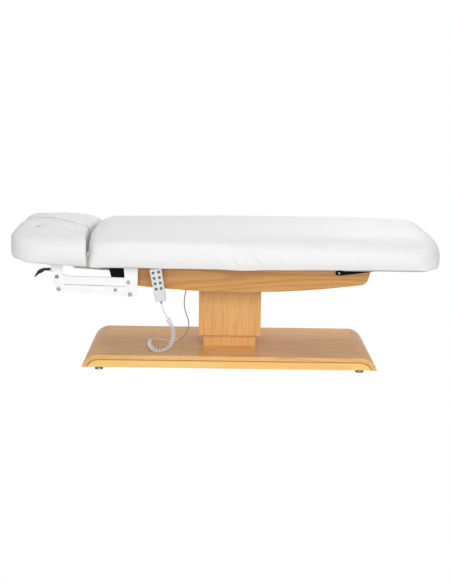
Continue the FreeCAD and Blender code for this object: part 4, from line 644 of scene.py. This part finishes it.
def tube_mesh(name, path, radius, sides):
    """Round tube along a path, closed at both ends."""
    vertices = []
    for here, (side, up) in zip(path, carried_frames(path)):
        for i in range(sides):
            angle = 2 * math.pi * i / sides
            vertices.append(here + (side * math.cos(angle) + up * math.sin(angle)) * radius)
    faces = ring_faces(len(path), sides)
    faces.append(tuple(reversed(range(sides))))
    faces.append(tuple(range((len(path) - 1) * sides, len(path) * sides)))
    return smooth_mesh(name, vertices, faces)


def make_cord(materials):
    """Handset cord: straight tail, curly part and thin lead in one length."""
    path = route_points(CORD_TAIL)
    for stretch in (curl_path(), route_points(CORD_LEAD)):
        path += [p for p in stretch if (p - path[-1]).length > JOIN_GAP]
    length = sum((b - a).length for a, b in zip(path, path[1:]))
    mesh = tube_mesh("handset_cord", path, CORD_R, CORD_SIDES)
    cord = add_object("handset_cord", mesh, None, materials["cord"])
    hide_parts("cord_tail", "cord_curl", "cord_lead")
    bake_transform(cord)


# Cushions

def cushion_copy(name, names, widen=1.0):
    """New object from the solids of some nodes; folding wedges are widened along X about their middles."""
    bm = bmesh.new()
    for node in names:
        low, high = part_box(node)
        middle = (low.x + high.x) / 2
        start = len(bm.verts)
        bm.from_mesh(nodes[node].data)
        bm.verts.ensure_lookup_table()
        if "fold" in node:
            for vertex in bm.verts[start:]:
                vertex.co.x = middle + (vertex.co.x - middle) * widen
    bmesh.ops.remove_doubles(bm, verts=bm.verts, dist=1e-5)
    mesh = bpy.data.meshes.new(name)
    bm.to_mesh(mesh)
    bm.free()
    piece = bpy.data.objects.new(name, mesh)
    scene.collection.objects.link(piece)
    return piece


def remesh(piece, size):
    """Makes one skin of even faces out of the piece's solids."""
    made = piece.modifiers.new("remesh", "REMESH")
    made.mode = "VOXEL"
    made.voxel_size = size
    made.use_smooth_shade = True
    depsgraph = bpy.context.evaluated_depsgraph_get()
    mesh = bpy.data.meshes.new_from_object(piece.evaluated_get(depsgraph))
    piece.modifiers.clear()
    piece.data = mesh


def relax(mesh, free, rounds):
    """Rounds the form off; a point with a freedom of 0 stays where it is."""
    ends = np.zeros(len(mesh.edges) * 2, dtype=np.int64)
    mesh.edges.foreach_get("vertices", ends)
    first, second = ends[0::2], ends[1::2]
    points = points_of(mesh)
    count = np.bincount(ends, minlength=len(points))[:, None]
    for _ in range(rounds):
        total = np.zeros_like(points)
        for axis in range(3):
            total[:, axis] += np.bincount(first, points[second, axis], len(points))
            total[:, axis] += np.bincount(second, points[first, axis], len(points))
        points += (total / count - points) * 0.5 * free[:, None]
    move_points(mesh, points)


def ramp(values, start, full):
    """Goes from 0 at start to 1 at full, which may lie on either side of it."""
    return np.clip((values - start) / (full - start), 0.0, 1.0)


def hump(values, middle, width):
    """Smooth hump, 1 at its middle."""
    return np.exp(-((values - middle) / width) ** 2)


def points_of(mesh):
    found = np.zeros(len(mesh.vertices) * 3)
    mesh.vertices.foreach_get("co", found)
    return found.reshape(-1, 3)


def normals_of(mesh):
    found = np.zeros(len(mesh.vertices) * 3)
    mesh.vertex_normals.foreach_get("vector", found)
    return found.reshape(-1, 3)


def move_points(mesh, points):
    mesh.vertices.foreach_set("co", points.ravel())
    mesh.update()


CLOTH_FRAMES = 20
SWELL_LIMIT = 0.005


def inflate(piece, held, pressure):
    """Swells the cover under pressure; held points stay, and none moves further than SWELL_LIMIT."""
    rest = points_of(piece.data)
    group = piece.vertex_groups.new(name="held")
    group.add(np.nonzero(held)[0].tolist(), 1.0, "REPLACE")
    cloth = piece.modifiers.new("cloth", "CLOTH")
    settings = cloth.settings
    settings.quality = 4
    settings.mass = 0.3
    settings.tension_stiffness = 12.0
    settings.compression_stiffness = 12.0
    settings.shear_stiffness = 6.0
    settings.bending_stiffness = 0.6
    settings.use_pressure = True
    settings.uniform_pressure_force = pressure
    settings.vertex_group_mass = "held"
    settings.effector_weights.gravity = 0.0
    cloth.point_cache.frame_start = 1
    cloth.point_cache.frame_end = CLOTH_FRAMES
    for step in range(1, CLOTH_FRAMES + 1):
        scene.frame_set(step)
    depsgraph = bpy.context.evaluated_depsgraph_get()
    swollen = points_of(piece.evaluated_get(depsgraph).data)
    piece.modifiers.clear()
    piece.vertex_groups.clear()
    scene.frame_set(1)
    shift = swollen - rest
    reach = np.linalg.norm(shift, axis=1, keepdims=True)
    shift *= np.minimum(1.0, SWELL_LIMIT / np.maximum(reach, 1e-9))
    move_points(piece.data, rest + shift)


def subdivided(piece):
    made = piece.modifiers.new("fine", "SUBSURF")
    made.levels = 1
    made.render_levels = 1


def soft_waves(points, scale, seed):
    return np.array([noise.noise(Vector(p) * scale + Vector((seed, seed * 0.7, 0.0))) for p in points])


def hanging(points, bottom):
    """How far each point belongs to the lower edge of the cover that hangs past the board."""
    low = ramp(points[:, 2], bottom + 0.05, bottom + 0.005)
    return low * ramp(np.abs(points[:, 1]), HANG_Y, HANG_Y + 0.012)


# Mattress. A span says where a change starts and where it is full, a hump its middle and width.
MATTRESS_VOXEL = 0.0085
FOLD_WIDEN = 1.1
FREE_SPAN = (BOARD_TOP + 0.004, BOARD_TOP + 0.06)
HEIGHT_SPAN = (BOARD_TOP, BOARD_TOP + 0.14)
FOOT_SPAN = (0.66, 0.82)
HEAD_SPAN = (-0.52, -0.60)
BODY_ROUNDS = 16
END_ROUNDS = 45
LAST_ROUNDS = 40
LAST_FREEDOM = 0.2
FLAT_DROP = 0.016
FLAT_SPAN = (0.0, -0.58)
FLAT_HALF_WIDTH = 0.34
NOSE_DROP = 0.010
NOSE_SPAN = (0.60, 0.86)
FILL = 0.008
FILL_SPAN = (0.15, -0.10)
SHOULDER_UP_HUMP = (0.7, 0.22)
SHOULDER_SIDE_SPAN = (0.4, 0.6)
CORNER_X_HUMP = (0.91, 0.06)
CORNER_Y_HUMP = (0.26, 0.10)
MATTRESS_PRESSURE = 2.0
MATTRESS_HELD_Z = BOARD_TOP + 0.006

# Folds: start and end in X and Z, width and height. The troughs lie beside each fold.
FOLD_FADE = 0.8
TROUGH_DEPTH = 0.6
TROUGH_OFF = 1.9
FOLD_FACING_SPAN = (0.45, 0.85)
FOLD_UPPER_SPAN = (BOARD_TOP + 0.01, BOARD_TOP + 0.04)
SIDE_FOLDS = [
    ((0.015, 0.600), (0.085, 0.518), 0.008, 0.0040), ((0.050, 0.585), (0.100, 0.520), 0.007, 0.0032),
    ((0.115, 0.605), (0.185, 0.535), 0.009, 0.0036), ((0.085, 0.575), (0.125, 0.515), 0.006, 0.0030),
    ((-0.060, 0.590), (0.010, 0.525), 0.010, 0.0022), ((0.230, 0.590), (0.300, 0.530), 0.010, 0.0016),
    ((-0.230, 0.560), (-0.180, 0.520), 0.009, 0.0018), ((0.470, 0.590), (0.530, 0.525), 0.009, 0.0022),
    ((0.545, 0.600), (0.600, 0.530), 0.009, 0.0018),
]

# Lower edge of the cover: it hangs less past the leg board, and dips at the hinges.
EDGE_HANG = 0.0065
LEG_HANG_LOSS = 0.0055
LEG_HANG_SPAN = (0.25, 0.50)
EDGE_WAVE = 0.0025
EDGE_DIP = 0.006
BACK_DIP_HUMP = (0.085, 0.09)
LEG_DIP_HUMP = (0.53, 0.10)
LEG_DIP_SHARE = 0.3
BACK_BEND = 0.19
LEG_BEND = 0.13


def ridge(points, a, b, width, height):
    """Soft fold from point a to point b on a side face, in X and Z; it fades towards both ends."""
    start = np.array(a)
    run = np.array(b) - start
    length = np.linalg.norm(run)
    flat = points[:, [0, 2]] - start
    along = flat @ run / length ** 2
    off = np.abs(flat[:, 0] * run[1] - flat[:, 1] * run[0]) / length
    fade = np.clip(np.sin(np.pi * np.clip(along, 0.0, 1.0)), 0.0, 1.0) ** FOLD_FADE
    return height * fade * (hump(off, 0.0, width) - TROUGH_DEPTH * hump(off, TROUGH_OFF * width, width))


def form_mattress(piece):
    """Rounds the cushions into one: flatter towards the head, lower at the foot, with full shoulders."""
    points = points_of(piece.data)
    above = ramp(points[:, 2], *FREE_SPAN)
    ends = ramp(points[:, 0], *FOOT_SPAN) + ramp(points[:, 0], *HEAD_SPAN)
    relax(piece.data, above, BODY_ROUNDS)
    relax(piece.data, above * ends, END_ROUNDS)
    points = points_of(piece.data)
    normals = normals_of(piece.data)
    off = np.abs(points[:, 1])
    height = ramp(points[:, 2], *HEIGHT_SPAN)
    inside = np.clip(1.0 - (off / FLAT_HALF_WIDTH) ** 2, 0.0, 1.0)
    flat = FLAT_DROP * ramp(points[:, 0], *FLAT_SPAN) * inside
    nose = NOSE_DROP * ramp(points[:, 0], *NOSE_SPAN) ** 2
    shoulder = hump(normals[:, 2], *SHOULDER_UP_HUMP) * ramp(np.abs(normals[:, 1]), *SHOULDER_SIDE_SPAN)
    fill = FILL * shoulder * ramp(points[:, 0], *FILL_SPAN)
    fill += FILL * hump(points[:, 0], *CORNER_X_HUMP) * hump(off, *CORNER_Y_HUMP)
    points += normals * (fill * above)[:, None]
    points[:, 2] -= height * (flat + nose)
    move_points(piece.data, points)
    relax(piece.data, above * (ends + LAST_FREEDOM), LAST_ROUNDS)


def crease_mattress(piece, plain):
    """Adds the folds, soft waves and hanging edge; the neck stays clear of the pad."""
    points = points_of(piece.data)
    normals = normals_of(piece.data)
    facing = ramp(np.abs(normals[:, 1]), *FOLD_FACING_SPAN)
    folds = sum(ridge(points, *fold) for fold in SIDE_FOLDS)
    wave = soft_waves(points * np.array([1.0, 0.25, 0.0]), scale=7.0, seed=3.1)
    near_hinge = hump(points[:, 0], *BACK_DIP_HUMP) + LEG_DIP_SHARE * hump(points[:, 0], *LEG_DIP_HUMP)
    hang = EDGE_HANG - LEG_HANG_LOSS * ramp(points[:, 0], *LEG_HANG_SPAN)
    dip = hanging(points, BOARD_TOP) * (EDGE_WAVE * wave - EDGE_DIP * near_hinge - hang)
    puff = 0.0016 * soft_waves(points, scale=9.0, seed=8.3)
    puff += 0.0010 * soft_waves(points, scale=21.0, seed=1.7)
    upper = ramp(points[:, 2], *FOLD_UPPER_SPAN)
    moved = points + normals * ((folds * facing + puff) * upper)[:, None]
    moved[:, 2] += dip
    neck = plain[:, 0] < NECK_X
    moved[neck, 0] = np.maximum(moved[neck, 0], plain[neck, 0] + NECK_ROOM)
    move_points(piece.data, moved)


def cut_half(whole, name, side):
    """The part of the mattress on one side of mid-seat, with the shading of the whole at the cut."""
    bm = bmesh.new()
    bm.from_mesh(whole)
    bmesh.ops.bisect_plane(bm, geom=bm.verts[:] + bm.edges[:] + bm.faces[:], dist=1e-6,
                           plane_co=(MATTRESS_CUT_X, 0.0, 0.0), plane_no=(1.0, 0.0, 0.0))
    bm.normal_update()
    whole_normals = {tuple(round(c, 6) for c in v.co): v.normal.copy() for v in bm.verts}
    gone = [v for v in bm.verts if (v.co.x - MATTRESS_CUT_X) * side < -1e-5]
    bmesh.ops.delete(bm, geom=gone, context="VERTS")
    mesh = bpy.data.meshes.new(name)
    bm.to_mesh(mesh)
    bm.free()
    shade_smooth(mesh)
    normals = [whole_normals[tuple(round(c, 6) for c in v.co)] for v in mesh.vertices]
    mesh.normals_split_custom_set_from_vertices(normals)
    return mesh


def make_mattress(materials):
    """One continuous cover over back, seat and leg, cut at mid-seat into two halves."""
    names = ["mattress_back", "mattress_fold_back", "mattress_seat", "mattress_fold_leg", "mattress_leg"]
    piece = cushion_copy("mattress", names, widen=FOLD_WIDEN)
    remesh(piece, MATTRESS_VOXEL)
    form_mattress(piece)
    plain = points_of(piece.data)
    inflate(piece, plain[:, 2] < MATTRESS_HELD_Z, MATTRESS_PRESSURE)
    crease_mattress(piece, plain)
    halves = (
        (-1, "mattress_cover_back", ("carriage", "back"), BACK_HINGE_X, BACK_BEND),
        (1, "mattress_cover_leg", ("carriage", "leg"), LEG_HINGE_X, LEG_BEND),
    )
    for side, name, bodies, hinge_x, reach in halves:
        part = cut_half(piece.data, name, side)
        cover = add_object(name, part, None, materials["leatherette"])
        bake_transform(cover)
        subdivided(cover)
        if side < 0:
            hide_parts("mattress_back", "mattress_fold_back", "mattress_seat")
        else:
            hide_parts("mattress_leg", "mattress_fold_leg")
    bpy.data.objects.remove(piece)


# Head pad: lobes, valley and seam run along X, and the tufts are drawn in.
PAD_VOXEL = 0.0055
PAD_FREE_SPAN = (PAD_BOTTOM + 0.01, PAD_BOTTOM + 0.05)
PAD_END_FREE_SPAN = (PAD_BOTTOM + 0.03, PAD_BOTTOM + 0.07)
PAD_END_SPAN = (-0.84, -0.92)
PAD_UPPER_SPAN = (PAD_BOTTOM + 0.02, PAD_BOTTOM + 0.05)
PAD_ROUNDS = 30
PAD_END_ROUNDS = 110
PAD_DROP = 0.006
PAD_HANG = 0.010
PAD_NECK_X = NECK_X - 0.06
PAD_PRESSURE = 3.0
PAD_HELD_Z = PAD_BOTTOM + 0.022
LOBE_RISE = 0.003
LOBE_HUMP = (0.12, 0.07)
VALLEY_DEPTH = 0.003
VALLEY_HUMP = (0.0, 0.05)
SEAM_DEPTH = 0.011
SEAM_HUMP = (0.0, 0.0095)
SEAM_HELD = 0.007
TUFT_DEPTH = 0.009
TUFT_HUMP = (0.0, 0.016)
TUFT_HELD = 0.010

# What is drawn in once more after the swelling, and the creases that spread from each tuft.
SEAM_AGAIN = 0.0035
SEAM_AGAIN_HUMP = (0.0, 0.008)
TUFT_AGAIN = 0.003
TUFT_AGAIN_HUMP = (0.0, 0.012)
STAR_DEPTH = 0.0014
STAR_HUMP = (0.0, 0.05)
STAR_POINTS = 5
STAR_TURN = 9

TUFT_BUTTON = [
    (0.0, -0.004), (0.0062, -0.004), (0.0072, -0.001), (0.0066, 0.0012), (0.0040, 0.0027), (0.0, 0.0032),
]
ABOVE_PAD_Z = 0.8


def tuft_reach(points):
    """Each tuft's place, and how far each point is from it in plan."""
    for x in TUFT_X:
        for y in TUFT_Y:
            yield x, y, np.hypot(points[:, 0] - x, points[:, 1] - y)


def form_pad(piece):
    """Rounds the pad, shapes its lobes, seam and tufts; gives its points and how far each faces up."""
    points = points_of(piece.data)
    head_end = ramp(points[:, 2], *PAD_END_FREE_SPAN) * ramp(points[:, 0], *PAD_END_SPAN)
    relax(piece.data, ramp(points[:, 2], *PAD_FREE_SPAN), PAD_ROUNDS)
    relax(piece.data, head_end, PAD_END_ROUNDS)
    points = points_of(piece.data)
    upward = ramp(normals_of(piece.data)[:, 2], 0.15, 0.7)
    off = np.abs(points[:, 1])
    lobes = LOBE_RISE * hump(off, *LOBE_HUMP) - VALLEY_DEPTH * hump(off, *VALLEY_HUMP) - PAD_DROP
    seam_and_tufts = SEAM_DEPTH * hump(off, *SEAM_HUMP)
    for _, _, reach in tuft_reach(points):
        seam_and_tufts = seam_and_tufts + TUFT_DEPTH * hump(reach, *TUFT_HUMP)
    points[:, 2] += upward * (lobes - seam_and_tufts)
    move_points(piece.data, points)
    return points, upward


def pad_held(points, upward):
    """The points that stay while the pad swells: its lower edge, the seam and the tufts."""
    on_top = upward > 0.3
    held = points[:, 2] < PAD_HELD_Z
    held |= on_top & (np.abs(points[:, 1]) < SEAM_HELD)
    for _, _, reach in tuft_reach(points):
        held |= on_top & (reach < TUFT_HELD)
    return held


def crease_pad(piece, plain):
    """Adds soft waves, draws in the seam and the tufts again, and keeps the neck clear of the mattress."""
    points = points_of(piece.data)
    normals = normals_of(piece.data)
    upper = ramp(points[:, 2], *PAD_UPPER_SPAN)
    puff = 0.0012 * soft_waves(points, scale=14.0, seed=5.2)
    puff += 0.0007 * soft_waves(points, scale=31.0, seed=2.2)
    drop = SEAM_AGAIN * hump(points[:, 1], *SEAM_AGAIN_HUMP) * ramp(normals[:, 2], 0.2, 0.7)
    for x, y, reach in tuft_reach(points):
        angle = np.arctan2(points[:, 1] - y, points[:, 0] - x)
        star = hump(reach, *STAR_HUMP) * (0.5 + 0.5 * np.cos(STAR_POINTS * angle + STAR_TURN * x))
        tuft = TUFT_AGAIN * hump(reach, *TUFT_AGAIN_HUMP) + STAR_DEPTH * star
        drop = drop + tuft * ramp(normals[:, 2], 0.3, 0.8)
    moved = points + normals * (puff * upper - drop)[:, None]
    moved[:, 2] -= PAD_HANG * hanging(points, PAD_BOTTOM)
    neck = plain[:, 0] > PAD_NECK_X
    moved[neck, 0] = np.minimum(moved[neck, 0], plain[neck, 0] - NECK_ROOM)
    move_points(piece.data, moved)


def make_tufts(pad, materials):
    """A covered button in each tuft, set on the finished surface of the pad."""
    surface = pad.evaluated_get(bpy.context.evaluated_depsgraph_get())
    spots = [(x, y) for x in TUFT_X for y in TUFT_Y]
    for number, (x, y) in enumerate(spots, start=1):
        name = "tuft_%d" % number
        _, place, normal, _ = surface.ray_cast(Vector((x, y, ABOVE_PAD_Z)), Vector((0.0, 0.0, -1.0)))
        mesh = lathe_mesh(name, TUFT_BUTTON, place, normal, steps=24)
        add_object(name, mesh, "head", materials["pad_leatherette"])


def make_head_pad(materials):
    """Two-lobed pad with a sewn valley and four tufts."""
    piece = cushion_copy("head_cushion", ["head_pad"])
    remesh(piece, PAD_VOXEL)
    plain, upward = form_pad(piece)
    inflate(piece, pad_held(plain, upward), PAD_PRESSURE)
    crease_pad(piece, plain)
    mesh = piece.data
    mesh.name = "head_cushion"
    bpy.data.objects.remove(piece)
    shade_smooth(mesh)
    pad = add_object("head_cushion", mesh, "head", materials["pad_leatherette"])
    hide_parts("head_pad")
    subdivided(pad)
    make_tufts(pad, materials)


# Small hardware. Bolt heads are pairs of a share of the radius and a share of the height.
BOLT_HEIGHT = 0.0055
BOLT_HEAD = [
    (0.0, 0.0), (1.0, 0.0), (1.0, 0.45), (0.9, 0.8), (0.66, 1.0),
    (0.52, 1.0), (0.5, 0.9), (0.46, 0.35), (0.0, 0.3),
]

# Name, place in X and Z, distance from the middle, radius, body and finish.
BOLTS = [
    ("rear_lower", (-0.452, 0.375), 0.3050, 0.0100, "back", "zinc"),
    ("rear_upper", (-0.460, 0.433), 0.3050, 0.0092, "back", "zinc"),
    ("front_lower", (-0.788, 0.397), 0.3050, 0.0098, "head", "zinc"),
    ("front_upper", (-0.796, 0.455), 0.3050, 0.0087, "head", "dark_zinc"),
    ("arm_stop", (-0.522, 0.394), 0.2998, 0.0080, "head_lower", "zinc"),
    ("leg_hinge", (0.535, 0.485), 0.2740, 0.0062, "carriage", "zinc"),
]

# Foot: radius and height, and the heights between which it is bare zinc.
FOOT_COUNT = 4
FOOT_PROFILE = [
    (0.0, 0.0), (0.0192, 0.0), (0.0203, 0.0010), (0.0205, 0.0036), (0.0200, 0.0040), (0.0196, 0.0044),
    (0.0194, 0.0098), (0.0200, 0.0102), (0.0202, 0.0106), (0.0198, 0.0128), (0.0120, 0.0134),
    (0.0062, 0.0135), (0.0058, 0.0140), (0.0058, 0.0430), (0.0, 0.0436),
]
FOOT_BAND = (0.0042, 0.0100)

# Key: share of its radius and depth below its top, from the rim to the dished middle.
BUTTON_COUNT = 8
KEY_TOP = [(1.0, 0.0011), (0.95, 0.0004), (0.84, 0.0001), (0.62, 0.0002), (0.5, 0.0005), (0.0, 0.0006)]
KEY_FACE_SHARE = 0.55


def make_bolts(materials):
    """Domed screw heads with a socket, on the near and the far side."""
    for name, (x, z), y, radius, body, finish in BOLTS:
        profile = [(radius * wide, BOLT_HEIGHT * tall) for wide, tall in BOLT_HEAD]
        for side, label in ((-1, "near"), (1, "far")):
            full = "%s_bolt_%s" % (name, label)
            mesh = lathe_mesh(full, profile, (x, side * y, z), (0.0, side, 0.0), steps=30)
            add_object(full, mesh, body, materials[finish])


def make_feet(materials):
    """Turned levelling feet, black with a zinc band."""
    for i in range(1, FOOT_COUNT + 1):
        name = "levelling_foot_%d" % i
        low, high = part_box(name)
        place = ((low.x + high.x) / 2, (low.y + high.y) / 2, 0.0)
        mesh = lathe_mesh(name + "_turned", FOOT_PROFILE, place, (0.0, 0.0, 1.0), steps=40)
        foot = add_object(name + "_turned", mesh, "foot_%d" % i, materials["rubber"])
        mesh.materials.append(materials["zinc"])
        for polygon in mesh.polygons:
            polygon.material_index = 1 if FOOT_BAND[0] < polygon.center.z < FOOT_BAND[1] else 0
        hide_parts(name)


def make_buttons(materials):
    """Round keys with a rounded rim and a dished face, in place of the plain ones."""
    for i in range(1, BUTTON_COUNT + 1):
        name = "handset_button_%d" % i
        low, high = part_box(name)
        x, z = (low.x + high.x) / 2, (low.z + high.z) / 2
        depth = high.y - low.y
        r = (high.x - low.x) / 2
        profile = [(0.0, 0.0), (r, 0.0)] + [(r * share, depth - below) for share, below in KEY_TOP]
        mesh = lathe_mesh(name + "_key", profile, (x, high.y, z), (0.0, -1.0, 0.0), steps=28)
        key = add_object(name + "_key", mesh, "button_%d" % i, materials["button"])
        mesh.materials.append(materials["button_face"])
        for polygon in mesh.polygons:
            off = math.hypot(polygon.center.x - x, polygon.center.z - z)
            in_front = polygon.center.y < high.y - depth / 2
            polygon.material_index = 1 if off < r * KEY_FACE_SHARE and in_front else 0
        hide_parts(name)


# Rigid nodes: their finish, the width of their rounded edges, and their names.
WELD_GAP = 0.00002
FINISHES = [
    ("oak_board", 0.0012, ["base_board"]),
    ("oak_core", 0.0012, ["base_core"]),
    ("oak_column", 0.0010, ["inner_column", "column_sleeve"]),
    ("oak_box", 0.0015, ["box_side_near", "box_side_far"]),
    ("oak_box", 0.0012, ["box_end_foot"]),
    ("plywood", 0.0, ["box_bottom"]),
    ("pale_board", 0.0, ["back_board", "seat_board", "leg_board", "head_board"]),
    ("black_steel", 0.0006, ["box_end_cap"]),
    ("black_steel", 0.0008, ["leg_arms"]),
    ("black_steel", 0.0, ["top_frame", "hinge_pins", "back_frame", "leg_crank"]),
    ("grey_steel", 0.0, ["lift_column_lower", "lift_column_upper"]),
    ("white_steel", 0.0008, ["head_frame", "rear_brackets"]),
    ("white_steel", 0.0010, ["head_arms_upper", "head_arms_lower"]),
    ("white_steel", 0.0005, ["handset_hook"]),
    ("white_steel", 0.0, ["gas_spring_cylinder"]),
    ("zinc", 0.0, ["back_actuator_rod", "leg_actuator_rod", "gas_spring_rod"]),
    ("zinc", 0.0, ["rear_pivot_bolts", "front_pivot_bolts"]),
    ("black_plastic", 0.0, ["lift_motor", "control_box", "back_actuator", "leg_actuator"]),
    ("black_plastic", 0.0015, ["release_lever"]),
    ("black_plastic", 0.0005, ["cord_gland"]),
    ("handset", 0.0012, ["handset_front"]),
    ("handset_back", 0.0012, ["handset_back"]),
]


def dress_node(node, material, edge):
    node.data.materials.clear()
    node.data.materials.append(material)
    if edge:
        weld = node.modifiers.new("weld", "WELD")
        weld.merge_threshold = WELD_GAP
        crisp(node, edge)


def dress_nodes(materials):
    for finish, edge, names in FINISHES:
        for name in names:
            dress_node(nodes[name], materials[finish], edge)


make_camera()
make_light()
make_floor()
materials = make_materials()
make_cord(materials)
dress_nodes(materials)
make_mattress(materials)
make_head_pad(materials)
make_bolts(materials)
make_feet(materials)
make_buttons(materials)
